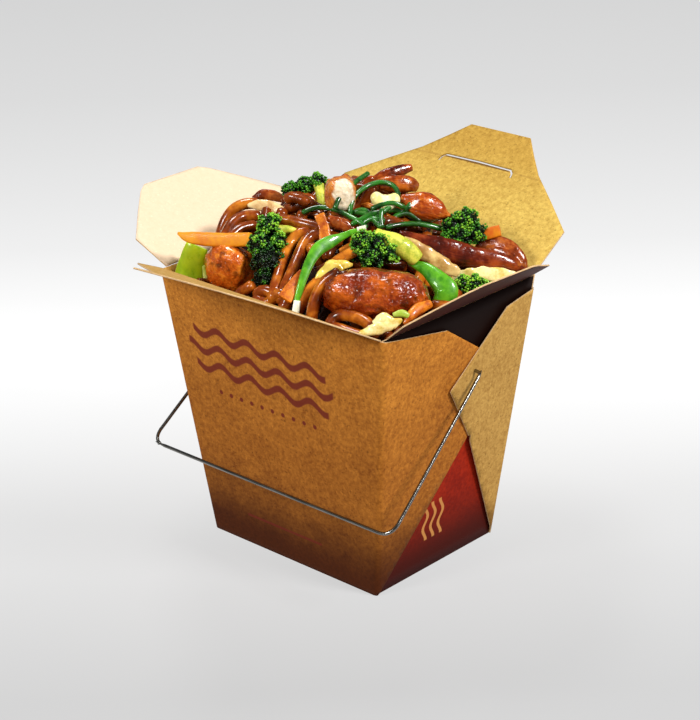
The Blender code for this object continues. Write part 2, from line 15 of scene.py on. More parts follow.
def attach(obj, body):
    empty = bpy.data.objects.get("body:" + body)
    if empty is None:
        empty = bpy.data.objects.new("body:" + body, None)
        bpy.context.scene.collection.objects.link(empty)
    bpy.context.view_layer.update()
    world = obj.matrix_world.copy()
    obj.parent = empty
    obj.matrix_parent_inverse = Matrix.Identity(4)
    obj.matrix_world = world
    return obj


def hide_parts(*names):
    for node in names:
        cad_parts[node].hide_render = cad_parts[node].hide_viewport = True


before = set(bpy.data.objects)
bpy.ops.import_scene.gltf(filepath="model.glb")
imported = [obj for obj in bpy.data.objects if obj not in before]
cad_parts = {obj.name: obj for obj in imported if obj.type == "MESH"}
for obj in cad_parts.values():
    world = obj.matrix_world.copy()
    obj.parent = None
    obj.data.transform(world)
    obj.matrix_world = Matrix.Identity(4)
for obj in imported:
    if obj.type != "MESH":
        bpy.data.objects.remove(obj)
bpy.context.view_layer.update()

MM = 0.001

# Carton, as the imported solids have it
HEIGHT = 105.0 * MM
TOP_LENGTH, TOP_WIDTH = 108.6 * MM, 82.5 * MM
BASE_LENGTH, BASE_WIDTH = 81.8 * MM, 64.8 * MM
BOARD = 0.55 * MM
CORNER = 2.0 * MM
FRONT_WEB = ((-41.2, 104.8), (-7.8, 98.7), (10.8, 86.1), (9.6, 50.0), (-31.9, 0.0))
BACK_WEB = ((40.5, 100.2), (24.6, 97.6), (-4.1, 73.7), (9.9, 50.8), (32.2, 0.0))

# Flaps: rows of (depth from the crease, half width) in mm, lean above the horizontal, twist
CREASE_LIFT = 0.35 * MM
BACK_OUTLINE = ((0.0, 54.0), (20.0, 54.2), (31.0, 41.0), (41.0, 28.5), (49.0, 21.0), (56.4, 14.5))
FRONT_OUTLINE = ((0.0, 54.0), (12.0, 54.2), (27.0, 33.0), (42.0, 15.0), (49.5, 17.5), (54.0, 13.0))
LEFT_OUTLINE = ((0.0, 38.4), (17.0, 38.8), (29.0, 27.5), (38.5, 18.0), (41.2, 14.0))
RIGHT_OUTLINE = ((0.0, 38.4), (10.0, 38.8), (18.0, 27.0), (24.0, 18.0), (26.5, 12.5))
TWIST = math.tan(math.radians(2.5))

# Bail
WIRE = 1.3 * MM
PIVOT = Vector((0.0, 9.0, 77.7)) * MM
BAIL_PATH = ((50.2, 0), (54.0, 0), (55.2, -0.5), (55.8, -1.8), (57.4, -24.0), (58.9, -44.7), (60.0, -61.2),
             (60.15, -63.6), (59.6, -66.0), (58.0, -67.9), (55.8, -68.6), (53.5, -68.7), (0, -68.7))
BAIL_DROP = math.radians(38.1)

VIEW_SIDE = (0.63, -0.67, 0.39)
UP = (0.0, 0.0, 1.0)


# ---------------------------------------------------------------- finishes

def tone(red, green, blue):
    """Linear colour from everyday 0 to 255 values."""
    return tuple(((v / 255 + 0.055) / 1.055) ** 2.4 if v > 10 else v / 255 / 12.92 for v in (red, green, blue))


class Signal:
    """One value of a finish; arithmetic on it adds Math nodes."""

    def __init__(self, finish, socket):
        self.finish = finish
        self.socket = socket

    def __add__(self, other):
        return self.finish.sum("ADD", self, other)

    def __sub__(self, other):
        return self.finish.sum("SUBTRACT", self, other)

    def __rsub__(self, other):
        return self.finish.sum("SUBTRACT", other, self)

    def __mul__(self, other):
        return self.finish.sum("MULTIPLY", self, other)

    def __truediv__(self, other):
        return self.finish.sum("DIVIDE", self, other)

    def __gt__(self, other):
        return self.finish.sum("GREATER_THAN", self, other)

    def __lt__(self, other):
        return self.finish.sum("LESS_THAN", self, other)

    __radd__ = __add__
    __rmul__ = __mul__


class Finish:
    """A material under construction."""

    def __init__(self, name, **constants):
        self.material = bpy.data.materials.new(name)
        self.material.use_nodes = True
        self.tree = self.material.node_tree
        self.shader = self.tree.nodes["Principled BSDF"]
        for key, value in constants.items():
            self.shader.inputs[key.replace("_", " ")].default_value = value

    def node(self, kind, settings=None, sockets=None, out=0):
        """Add one node: its settings first, then its sockets' values or links."""
        made = self.tree.nodes.new(kind)
        for key, value in (settings or {}).items():
            if key == "stops":
                ramp = made.color_ramp
                for _ in value[2:]:
                    ramp.elements.new(0.5)
                for element, (place, colour) in zip(ramp.elements, value):
                    element.position = place
                    element.color = (*colour, 1.0)
            else:
                setattr(made, key, value)
        for key, value in (sockets or {}).items():
            self.put(made.inputs[key], value)
        return Signal(self, made.outputs[out])

    def put(self, socket, value):
        if isinstance(value, Signal):
            self.tree.links.new(value.socket, socket)
        elif isinstance(value, tuple) and len(value) == 3 and socket.type == "RGBA":
            socket.default_value = (*value, 1.0)
        else:
            socket.default_value = value

    def sum(self, operation, one, other=0.5):
        return self.node("ShaderNodeMath", {"operation": operation}, {0: one, 1: other})

    def place(self):
        return self.node("ShaderNodeTexCoord", out=3)

    def axis(self, index):
        return self.node("ShaderNodeSeparateXYZ", None, {0: self.place()}, out=index)

    def stretched(self, x, y, z):
        return self.node("ShaderNodeVectorMath", {"operation": "MULTIPLY"}, {0: self.place(), 1: (x, y, z)})

    def clouds(self, scale, detail=2.0, roughness=0.5, where=None):
        """Soft noise from 0 to 1, scale in patches per metre."""
        return self.node("ShaderNodeTexNoise", None,
                         {"Vector": where or self.place(), "Scale": scale, "Detail": detail, "Roughness": roughness})

    def lay(self, x=1.0, y=1.0, z=1.0):
        """Travel along a piece and place across it, scaled."""
        spot = self.node("ShaderNodeAttribute", {"attribute_name": "lay"}, out=1)
        return self.node("ShaderNodeVectorMath", {"operation": "MULTIPLY"}, {0: spot, 1: (x, y, z)})

    def between(self, value, low, high):
        """0 below low, 1 above high, smooth between."""
        return self.node("ShaderNodeMapRange", {"interpolation_type": "SMOOTHSTEP"},
                         {"Value": value, "From Min": low, "From Max": high})

    def mix(self, factor, one, other, blend="MIX"):
        return self.node("ShaderNodeMix", {"data_type": "RGBA", "blend_type": blend}, {0: factor, 6: one, 7: other}, out=2)

    def ramp(self, value, *stops):
        return self.node("ShaderNodeValToRGB", {"stops": stops}, {0: value})

    def bump(self, height, distance, strength=1.0):
        relief = self.node("ShaderNodeBump", None, {"Height": height, "Distance": distance, "Strength": strength})
        self.put(self.shader.inputs["Normal"], relief)

    def wear(self, **links):
        """Feed the shader's sockets by name; returns the material."""
        for key, value in links.items():
            self.put(self.shader.inputs[key.replace("_", " ")], value)
        return self.material


def board_finish(name, light, dark, foot=None, print_and_shade_on=None, blotch=0.7, rough=0.78, grit=2.0, fleck=0.6):
    """Uncoated kraft: cloudy tone, short fibres, dark and pale flecks; foot adds painted shade that darkens it
    downwards.
    """
    paint = Finish(name, Roughness=rough, Specular_IOR_Level=0.10)
    clouds = paint.clouds(70, 3, 0.6)
    grain = paint.clouds(640, 3, 0.7)
    fibres = paint.clouds(1.0, 2, 0.6, paint.stretched(420, 420, 1300))
    value = (clouds - 0.5) * blotch + (grain - 0.5) * grit + (fibres - 0.5) * 0.4 + 0.5
    colour = paint.mix(value, dark, light)
    flecks = paint.between(paint.clouds(1300, 1, 0.4), 0.64, 0.76)
    colour = paint.mix(flecks * fleck, colour, tuple(0.4 * v for v in dark))
    pale = paint.between(paint.clouds(1050, 1, 0.4, paint.stretched(1, 1.3, 1)), 0.66, 0.8)
    colour = paint.mix(pale * 0.35, colour, tuple(min(1.0, 1.5 * v) for v in light))
    # Painted shade: darker towards the foot, and a little darker all the way up, less and less towards the rim.
    if foot:
        low, high, shade, middle = foot
        foot_shade_fade = paint.between(paint.axis(2) + (clouds - 0.5) * 0.012, low, high)
        colour = paint.mix(foot_shade_fade, paint.mix(value, tuple(0.62 * v for v in shade), shade), colour)
        half = paint.between(paint.axis(2), high, 0.105)
        colour = paint.mix((1 - half) * middle, colour, dark, "MULTIPLY")
    # The last step adds the front's print, and on the back flap painted shade in its score and slit.
    if print_and_shade_on:
        colour = print_and_shade_on(paint, colour, grain)
    paint.bump(grain * 0.5 + fibres * 0.5, 0.00012, 0.55)
    return paint.wear(Base_Color=colour)


INK = tone(112, 38, 27)


def stroke(paint, across, up, middle, half, low, high):
    """1 inside a line of half thickness about a height, between two ends."""
    inside = paint.between(paint.sum("ABSOLUTE", up - middle), half * 1.25, half * 0.75)
    return inside * paint.between(across, low - 0.0004, low + 0.0004) * paint.between(across, high + 0.0004, high - 0.0004)


def noodle_waves(paint, colour, grain):
    """Front print: three wavy noodle lines over a row of dots, and a thin rule near the foot."""
    across, up = paint.axis(0), paint.axis(2)
    drop = across * -0.02
    ink = None
    for level, low, high in ((0.0845, -0.040, 0.026), (0.0775, -0.043, 0.029), (0.0705, -0.040, 0.026)):
        wave = paint.sum("SINE", across * 420.0 + level * 900) * 0.0017
        line = stroke(paint, across, up, wave + drop + level, 0.00135, low, high)
        ink = line if ink is None else paint.sum("MAXIMUM", ink, line)
    beat = paint.sum("SUBTRACT", paint.sum("FRACT", across * 190.0), 0.5) * (1 / 190.0)
    away = paint.sum("SQRT", beat * beat + (up - 0.0618) * (up - 0.0618))
    dots = paint.between(away, 0.00105, 0.00075) * (across > -0.0316) * (across < 0.0211)
    ink = paint.sum("MAXIMUM", ink, dots)
    rule = stroke(paint, across, up, across * 0.0 + 0.0125, 0.0005, -0.022, 0.016)
    ink = paint.sum("MAXIMUM", ink, rule * 0.8)
    worn = ink * paint.between(grain, 0.16, 0.34)
    return paint.mix(worn * 0.93, colour, INK)


def red_print_with_painted_shade(name, end_panel_not_shaded_flap=True):
    """Dark red print on the ends with three tan steam lines; painted shade darkens it towards the foot, and a painted
    shadow makes it nearly black in the gap under the flap.
    """
    paint = Finish(name, Roughness=0.6, Specular_IOR_Level=0.06)
    grain = paint.clouds(700, 3, 0.6)
    clouds = paint.clouds(60, 2, 0.5)
    # For the flap's underside the same print is painted much darker, as painted shade, and gets no steam lines.
    colour = paint.mix(paint.between(clouds * 0.5 + grain * 0.5, 0.3, 0.7), *((tone(124, 22, 6), tone(170, 40, 12)) if end_panel_not_shaded_flap
                                                                                 else (tone(46, 12, 6), tone(78, 24, 12))))
    height = paint.axis(2)
    # Painted shade: darker towards the foot.
    colour = paint.mix(paint.between(height, 0.004, 0.034), tone(66, 14, 6), colour)
    if end_panel_not_shaded_flap:
        # Painted shadow of the flap: nearly black in the gap under it.
        colour = paint.mix(paint.between(height, 0.052, 0.080), colour, tone(22, 7, 4))
        side, rise = paint.axis(1) + 0.0035, height - 0.0205
        sway = paint.sum("SINE", rise * 620.0) * 0.0010
        lines = None
        for shift in (-0.0042, 0.0, 0.0042):
            line = paint.between(paint.sum("ABSOLUTE", side - sway - shift), 0.00085, 0.0006)
            lines = line if lines is None else paint.sum("MAXIMUM", lines, line)
        lines = lines * paint.between(paint.sum("ABSOLUTE", rise), 0.0080, 0.0074)
        colour = paint.mix(lines * 0.85, colour, tone(204, 140, 74))
    paint.bump(grain, 0.00008, 0.4)
    return paint.wear(Base_Color=colour)


def tab_score_with_painted_shade(paint, colour, grain):
    """Score line across the back flap on both sides of its lock slit, with painted shade in its groove, and a painted
    shadow along the slit's lower side.
    """
    lean = math.radians(33.6)
    out, up = paint.axis(1) - half_width(HEIGHT), paint.axis(2) - (HEIGHT + CREASE_LIFT)
    depth = out * math.cos(lean) + up * math.sin(lean)
    across = paint.axis(0) * -1.0
    mirrored = paint.sum("ABSOLUTE", across)
    off = paint.sum("ABSOLUTE", depth - 0.0392 + (mirrored - 0.016) * 0.03)
    # Painted shade in the score groove.
    score_groove_shade = paint.between(off, 0.0006, 0.0002) * paint.between(mirrored, 0.0142, 0.0150)
    colour = paint.mix(score_groove_shade * 0.35, colour, tone(150, 112, 52))
    # Painted shadow along the slit's lower side.
    under = paint.between(paint.sum("ABSOLUTE", depth - 0.0396), 0.0007, 0.0004) * paint.between(mirrored, 0.0160, 0.0152)
    colour = paint.mix(under * 0.8, colour, tone(92, 58, 30))
    return paint.mix(paint.between(depth, 0.020, 0.052) * 0.6, colour, tone(214, 190, 150), "MULTIPLY")


def edge_finish():
    """Cut edge of the board."""
    paint = Finish("cut_board_edge", Roughness=0.8)
    grain = paint.clouds(900, 2)
    return paint.wear(Base_Color=paint.mix(grain, tone(176, 132, 78), tone(226, 194, 148)))


def steel_finish():
    paint = Finish("drawn_steel", Metallic=1.0)
    streaks = paint.clouds(1.0, 3, 0.6, paint.stretched(90, 900, 900))
    colour = paint.mix(streaks, tone(52, 50, 47), tone(168, 166, 160))
    paint.bump(streaks, 0.00003, 0.3)
    return paint.wear(Base_Color=colour, Roughness=paint.between(streaks, 0.0, 1.4) * 0.25 + 0.14)


def glazed(name, dark, middle, light, patch=130, gloss=0.16, char=0.35, speckle=0.0, relief=0.0003, streak=0.0,
           cut=None):
    """Food in sauce: cloudy browns, dark seared spots, wet coat with broken highlights; cut is a pale cut face."""
    paint = Finish(name, Coat_Roughness=0.04, Coat_IOR=1.4, Specular_IOR_Level=0.25, Coat_Weight=0.8)
    clouds = paint.clouds(patch, 3, 0.6)
    fine = paint.clouds(patch * 5, 2, 0.6)
    value = clouds * 0.75 + fine * 0.25
    if streak:
        lines = paint.clouds(1.0, 3, 0.6, paint.lay(160, 1500, 0))
        value = value + (lines - 0.5) * streak
    colour = paint.ramp(value, (0.32, dark), (0.50, middle), (0.68, light))
    seared = paint.between(paint.clouds(patch * 1.3, 2, 0.7), 0.52, 0.66)
    colour = paint.mix(seared * char, colour, tuple(0.22 * v for v in dark))
    if speckle:
        spots = paint.between(paint.clouds(patch * 9, 1), 0.64, 0.72)
        colour = paint.mix(spots * speckle, colour, light)
    if cut:
        place, size = cut
        gap = paint.node("ShaderNodeVectorMath", {"operation": "SUBTRACT"}, {0: paint.place(), 1: tuple(place)})
        gap = paint.node("ShaderNodeVectorMath", {"operation": "MULTIPLY"}, {0: gap, 1: (1.35, 1.35, 0.75)})
        away = paint.node("ShaderNodeVectorMath", {"operation": "LENGTH"}, {0: gap}, out=1)
        face = paint.between(away + (clouds - 0.5) * 0.008, size * 1.15, size * 0.75)
        colour = paint.mix(face, colour, paint.mix(fine, tone(226, 190, 138), tone(254, 246, 226)))
    height = clouds * 0.7 + fine * 0.6
    paint.bump(height + (lines - 0.5) * streak if streak else height, relief, 0.85)
    return paint.wear(Base_Color=colour, Roughness=paint.between(fine, 0.3, 0.7) * 0.16 + gloss)


def noodle_finish(name, dark, middle, light):
    paint = Finish(name, Coat_Roughness=0.04, Coat_IOR=1.4, Specular_IOR_Level=0.15, Coat_Weight=0.75)
    clouds = paint.clouds(80, 2, 0.5)
    fine = paint.clouds(520, 2, 0.5)
    streak = paint.clouds(240, 2, 0.7)
    colour = paint.ramp(clouds * 0.65 + streak * 0.35, (0.34, dark), (0.50, middle), (0.64, light))
    paint.bump(fine, 0.00010, 0.5)
    return paint.wear(Base_Color=colour, Roughness=fine * 0.16 + 0.18)


def skin_finish(name, deep, bright, rough=0.22, coat=0.5, patch=160):
    """Vegetable skin or flesh: two tones in soft patches and fine specks."""
    paint = Finish(name, Coat_Roughness=0.07, Coat_Weight=coat, Specular_IOR_Level=0.3)
    clouds = paint.clouds(patch, 3, 0.55)
    fine = paint.clouds(patch * 7, 2, 0.6)
    colour = paint.mix(paint.between(clouds * 0.75 + fine * 0.25, 0.34, 0.64), deep, bright)
    paint.bump(clouds * 0.5 + fine * 0.5, 0.00022, 0.6)
    return paint.wear(Base_Color=colour, Roughness=fine * 0.2 + rough)


def bud_colour_and_painted_shade():
    """Broccoli buds: painted shade, nearly black deep between them, painted light, bright green where the tips stand
    out, and a painted light level for each lobe.
    """
    paint = Finish("broccoli_buds_painted_shade", Coat_Weight=0.25, Coat_Roughness=0.12, Specular_IOR_Level=0.2)
    patches = paint.clouds(230, 2, 0.5)
    fine = paint.clouds(900, 2, 0.6)
    spot = paint.node("ShaderNodeAttribute", {"attribute_name": "lay"}, out=1)
    # reach paints shade deep between the buds; bright is the lobe's painted light level.
    reach = paint.node("ShaderNodeSeparateXYZ", None, {0: spot}, out=0)
    bright = paint.node("ShaderNodeSeparateXYZ", None, {0: spot}, out=1)
    value = reach * 0.55 + (patches - 0.5) * 0.7 + (fine - 0.5) * 0.3 + (bright - 0.5) * 0.32 + 0.18
    colour = paint.ramp(value, (0.20, tone(4, 18, 2)), (0.42, tone(16, 62, 6)), (0.62, tone(62, 132, 18)),
                        (0.86, tone(142, 196, 48)))
    paint.bump(fine, 0.0002, 0.6)
    return paint.wear(Base_Color=colour, Roughness=fine * 0.3 + 0.3)


FLOOR_LIGHT = ((-0.116, 0.48), (-0.084, 0.52), (-0.01, 0.62), (0.031, 0.69), (0.078, 0.79), (0.128, 0.88),
               (0.185, 0.92), (0.248, 0.82), (0.32, 0.73), (0.4, 0.685), (0.49, 0.645), (0.6, 0.61), (0.85, 0.59))


def floor_finish(forward):
    """Pale floor with a soft glow, a little brighter behind the box."""
    paint = Finish("pale_floor", Roughness=0.9, Specular_IOR_Level=0.1, Base_Color=(0.12, 0.12, 0.12, 1.0),
                   Emission_Strength=1.0)
    along = paint.node("ShaderNodeVectorMath", {"operation": "DOT_PRODUCT"}, {0: paint.place(), 1: forward}, out=1)
    along = paint.node("ShaderNodeMapRange", None, {"Value": along, "From Min": -0.2, "From Max": 0.9})
    glow = paint.ramp(along, *(((at + 0.2) / 1.1, (v, v, v)) for at, v in FLOOR_LIGHT))
    return paint.wear(Emission_Color=glow)


# ---------------------------------------------------------------- pieces

def piece(name, shape, *finishes, body="carton", stands_for=(), slot=None):
    """Object of a bmesh with its place in its mesh, riding on a body."""
    bmesh.ops.remove_doubles(shape, verts=shape.verts, dist=1e-6)
    mesh = bpy.data.meshes.new(name)
    shape.to_mesh(mesh)
    shape.free()
    for finish in finishes:
        mesh.materials.append(finish)
    mesh.shade_smooth()
    made = bpy.data.objects.new(name, mesh)
    bpy.context.scene.collection.objects.link(made)
    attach(made, body)
    if stands_for:
        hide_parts(*stands_for)
    return made


def thicken(made, thickness, offset, rim=True):
    board = made.modifiers.new("Board", "SOLIDIFY")
    board.thickness = thickness
    board.offset = offset
    board.use_even_offset = True
    board.use_rim = True
    if rim:
        board.material_offset = 1
        board.material_offset_rim = 2
    made.data.set_sharp_from_angle(angle=math.radians(38))
    return board


def apply_modifiers(made):
    bpy.context.view_layer.update()
    graph = bpy.context.evaluated_depsgraph_get()
    result = bpy.data.meshes.new_from_object(made.evaluated_get(graph))
    made.modifiers.clear()
    made.data = result


def stations(points, step):
    """The given values with more of them between, no further apart than step."""
    found = [points[0]]
    for low, high in zip(points, points[1:]):
        count = max(1, math.ceil(abs(high - low) / step - 1e-9))
        found += [low + (high - low) * (i + 1) / count for i in range(count)]
    return found


def flat_grid(columns, rows):
    """Grid in X and Y with its columns and rows at the given stations."""
    shape = bmesh.new()
    bmesh.ops.create_grid(shape, x_segments=len(columns) - 1, y_segments=len(rows) - 1, size=1.0)
    for vert in shape.verts:
        i = round((vert.co.x + 1) / 2 * (len(columns) - 1))
        j = round((vert.co.y + 1) / 2 * (len(rows) - 1))
        vert.co = (columns[i], rows[j], 0.0)
    return shape


def trim(shape, start, end, region):
    """Cut a flat sheet along a line and drop the part of the region to the line's left."""
    faces = [f for f in shape.faces if region(f.calc_center_median())]
    touched = {v for f in faces for v in f.verts} | {e for f in faces for e in f.edges}
    normal = Vector((start[1] - end[1], end[0] - start[0], 0)).normalized()
    bmesh.ops.bisect_plane(shape, geom=[*faces, *touched], dist=1e-7, plane_co=(*start, 0), plane_no=normal,
                           clear_outer=True)


# ---------------------------------------------------------------- carton

def half_length(z):
    return (BASE_LENGTH + (TOP_LENGTH - BASE_LENGTH) * z / HEIGHT) / 2


def half_width(z):
    return (BASE_WIDTH + (TOP_WIDTH - BASE_WIDTH) * z / HEIGHT) / 2


PANEL = 50 * MM                 # half of the panel in the sheet's flat measure
BEND = math.pi / 2 * CORNER


def wrap(point, lift, side):
    """Fold the flat sheet round the pail's corner; side is -1 for the front sheet, 1 for the back."""
    flat, z = point.x, point.y
    stand = lift(flat - PANEL - BEND, z)
    far = half_length(z) + stand - CORNER
    run = min(flat, PANEL) / PANEL * far
    turn = min(1.0, max(0.0, (flat - PANEL) / BEND)) * math.pi / 2
    beyond = max(0.0, flat - PANEL - BEND)
    x = run + CORNER * math.sin(turn)
    y = half_width(z) - CORNER + CORNER * math.cos(turn) - beyond
    return Vector((x, side * y, z))


def web_line(points, side):
    """A web's outline on the flat sheet from (across, up) on the end panel."""
    line = []
    for across, up in points:
        z = up * MM
        reach = half_width(z) - CORNER - side * across * MM
        line.append((PANEL + BEND + reach, z))
    return line


def front_lift(reach, z):
    return (1.15 + 0.25 * min(1.0, max(0.0, reach / (45 * MM)))) * MM


def back_lift(reach, z):
    free = min(1.0, max(0.0, reach / (38 * MM)))
    return (1.3 + 1.55 * free ** 1.3 * (1 - 0.35 * z / HEIGHT)) * MM


def board_sheet(name, side, lift, cuts, finishes, stands_for):
    """Panel and its two folded webs as one bent sheet."""
    columns = stations((0.0, PANEL), 3.5 * MM) + [PANEL + BEND * i / 5 for i in range(1, 6)]
    columns += stations((PANEL + BEND, PANEL + BEND + 50 * MM), 3 * MM)[1:]
    rows = stations((0.0, 2 * MM, BACK_WEB[3][1] * MM, HEIGHT), 3.5 * MM)
    shape = flat_grid(columns, rows)
    for start, end, region in cuts:
        trim(shape, start, end, region)
    for vert in shape.verts:
        vert.co = wrap(vert.co, lift, side)
    bmesh.ops.mirror(shape, geom=[*shape.verts, *shape.edges, *shape.faces], merge_dist=1e-6, axis="X")
    bmesh.ops.remove_doubles(shape, verts=shape.verts, dist=1e-6)
    bmesh.ops.recalc_face_normals(shape, faces=shape.faces)
    outward = sum((f.normal.y * side for f in shape.faces if abs(f.calc_center_median().x) < 30 * MM), 0.0)
    if outward < 0:
        bmesh.ops.reverse_faces(shape, faces=shape.faces)
    made = piece(name, shape, *finishes, stands_for=stands_for, slot="kraft_board")
    thicken(made, BOARD, -1.0)
    return made


def end_panel(name, side, finishes):
    """Flat end, between the long sheets' corners."""
    rows = stations((0.0, HEIGHT), 5 * MM)
    shape = flat_grid(stations((-1.0, 1.0), 0.1), rows)
    for vert in shape.verts:
        z = vert.co.y
        y = vert.co.x * (half_width(z) - 0.9 * MM)
        vert.co = (side * half_length(z), y, z)
    shape.normal_update()
    if shape.faces[:][0].normal.x * side < 0:
        bmesh.ops.reverse_faces(shape, faces=shape.faces)
    made = piece(name, shape, *finishes, slot="kraft_board")
    thicken(made, BOARD, -1.0)
    return made


def base_panel(finish):
    shape = bmesh.new()
    bmesh.ops.create_cube(shape, size=2.0)
    for vert in shape.verts:
        z = 1.1 * MM if vert.co.z > 0 else 0.0
        vert.co = (math.copysign(half_length(z) - 0.25 * MM, vert.co.x),
                   math.copysign(half_width(z) - 0.25 * MM, vert.co.y), z)
    corners = [e for e in shape.edges if abs(e.verts[0].co.z - e.verts[1].co.z) > 0.5 * MM]
    bmesh.ops.bevel(shape, geom=corners, offset=CORNER, affect="EDGES", segments=5, profile=0.5, material=-1)
    foot = [e for e in shape.edges if all(v.co.z < 0.1 * MM for v in e.verts)]
    bmesh.ops.bevel(shape, geom=foot, offset=0.4 * MM, affect="EDGES", segments=2, profile=0.5, material=-1)
    made = piece("base_panel", shape, finish, slot="kraft_board")
    made.data.set_sharp_from_angle(angle=math.radians(38))
    return made


def carton():
    edge = edge_finish()
    inside = board_finish("kraft_inside", tone(204, 158, 80), tone(164, 114, 46))
    # Front and back sheets: kraft painted darker towards the foot, as painted shade.
    front = board_finish("kraft_front_painted_foot_shade", tone(214, 140, 52), tone(148, 84, 24),
                         (0.004, 0.040, tone(96, 46, 14), 0.35), noodle_waves)
    back = board_finish("kraft_back_painted_foot_shade", tone(206, 162, 86), tone(158, 114, 52), (0.0, 0.02, tone(140, 98, 44), 0.1))
    red = red_print_with_painted_shade("red_end_print_and_painted_shade")
    web = web_line(FRONT_WEB, -1)
    on_side = lambda at: at.x > PANEL * 0.2
    cuts = [(a, b, on_side) for a, b in zip(web, web[1:])]
    board_sheet("front_board", -1, front_lift, cuts, (front, inside, edge), ("carton",))
    web = web_line(BACK_WEB, 1)
    past_bend = lambda at: at.x > PANEL + BEND * 0.4
    low = lambda at: past_bend(at) and at.y < 50.8 * MM
    high = lambda at: past_bend(at) and at.y > 50.8 * MM
    cuts = [(web[0], web[1], high), (web[1], web[2], high), (web[2], web[3], high), (web[3], web[4], low)]
    board_sheet("back_board", 1, back_lift, cuts, (back, inside, edge), ())
    end_panel("right_end", 1, (red, inside, edge))
    end_panel("left_end", -1, (red, inside, edge))
    base_panel(back)
    return inside, back, edge


# ---------------------------------------------------------------- flaps

def half_width_at(outline, depth):
    for (near, wide), (far, narrow) in zip(outline, outline[1:]):
        if depth <= far + 1e-9:
            return wide + (narrow - wide) * (depth - near) / (far - near)
    return outline[-1][1]


def flap(name, outline, place, heading, lean, twist, curl, body, finishes, slot, slit=None):
    """Board flap from its crease; curl lifts its free edge a little."""
    rows = stations([depth for depth, _ in outline], 2.5)
    shape = flat_grid(stations((-1.0, 1.0), 0.0625), rows)
    widest = outline[0][1]
    for vert in shape.verts:
        depth = vert.co.y
        across = vert.co.x * half_width_at(outline, depth)
        lift = twist * max(0.0, depth - 0.7) * across / widest + curl(across / widest, depth)
        vert.co = (across * MM, -depth * MM, lift * MM)
    corners = [v for v in shape.verts if sum(e.is_boundary for e in v.link_edges) == 2]
    shape.normal_update()
    if shape.faces[:][0].normal.z < 0:
        bmesh.ops.reverse_faces(shape, faces=shape.faces)
    turn = Matrix.Translation(place) @ Matrix.Rotation(heading, 4, "Z") @ Matrix.Rotation(-lean, 4, "X")
    bmesh.ops.transform(shape, matrix=turn, verts=shape.verts)
    made = piece(name + "_board", shape, *finishes, body=body, stands_for=(name,), slot=slot)
    thicken(made, BOARD, 0.0)
    if slit:
        apply_modifiers(made)
        tool = slit_cutter(turn)
        cut = made.modifiers.new("Slit", "BOOLEAN")
        cut.operation = "DIFFERENCE"
        cut.solver = "EXACT"
        cut.object = tool
        apply_modifiers(made)
        bpy.data.objects.remove(tool, do_unlink=True)
    return made


def slit_cutter(turn):
    """Thin bar across the tab's lock slit, its ends hooked towards the crease."""
    line = ((-17.6, 36.8), (-17.2, 38.6), (-15.8, 40.1), (0.0, 40.4), (15.8, 40.1), (17.2, 38.6), (17.6, 36.8))
    shape = flat_grid(stations((0.0, 6.0), 1.0), (-0.45, 0.45))
    for vert in shape.verts:
        k = round(vert.co.x)
        ahead = Vector(line[min(6, k + 1)]) - Vector(line[max(0, k - 1)])
        side = Vector((-ahead.y, ahead.x)).normalized() * vert.co.y
        vert.co = ((line[k][0] + side.x) * MM, (-line[k][1] - side.y) * MM, -4 * MM)
    lid = bmesh.ops.extrude_face_region(shape, geom=shape.faces[:])["geom"]
    bmesh.ops.translate(shape, verts=[v for v in lid if isinstance(v, bmesh.types.BMVert)], vec=(0, 0, 8 * MM))
    bmesh.ops.recalc_face_normals(shape, faces=shape.faces)
    bmesh.ops.transform(shape, matrix=turn, verts=shape.verts)
    mesh = bpy.data.meshes.new("slit_cutter")
    shape.to_mesh(mesh)
    shape.free()
    tool = bpy.data.objects.new("slit_cutter", mesh)
    bpy.context.scene.collection.objects.link(tool)
    return tool


def flaps(inside, outside, edge):
    z = HEIGHT + CREASE_LIFT
    golden = board_finish("kraft_golden_painted_shade", tone(216, 184, 94), tone(172, 136, 58), print_and_shade_on=tab_score_with_painted_shade, blotch=0.35)
    tan = board_finish("kraft_tan", tone(202, 164, 96), tone(164, 122, 58))
    # The left flap is the same kraft as the others, painted pale cream as painted light where the light falls strongly
    # on it.
    cream = board_finish("cream_board", tone(234, 208, 180), tone(216, 188, 152), blotch=0.3, grit=0.8, fleck=0.12)
    # The right flap's underside: the end print painted much darker, as painted shade under the flap.
    red = red_print_with_painted_shade("red_flap_print_painted_shade", end_panel_not_shaded_flap=False)
    flat = lambda across, depth: 0.0
    tip = lambda across, depth: 0.010 * max(0.0, depth - 30.0) ** 1.5
    flap("flap_front", FRONT_OUTLINE, (0, -half_width(HEIGHT), z), 0.0, math.radians(27.0), TWIST,
         lambda across, depth: 0.0, "flap_front", (tan, outside, edge), "kraft_board")
    flap("flap_left", LEFT_OUTLINE, (-half_length(HEIGHT), 0, z), -math.pi / 2, math.radians(24.4), 0.0,
         lambda across, depth: 0.0, "flap_left", (cream, outside, edge), "cream_board")
    flap("flap_right", RIGHT_OUTLINE, (half_length(HEIGHT), 0, z), math.pi / 2, math.radians(38.0), -TWIST,
         lambda across, depth: 0.0, "flap_right", (inside, red, edge), "kraft_board")
    flap("flap_back", BACK_OUTLINE, (0, half_width(HEIGHT), z), math.pi, math.radians(33.6), 0.0,
         lambda across, depth: 0.0, "flap_back", (golden, outside, edge), "kraft_board", slit=True)


# ---------------------------------------------------------------- bail

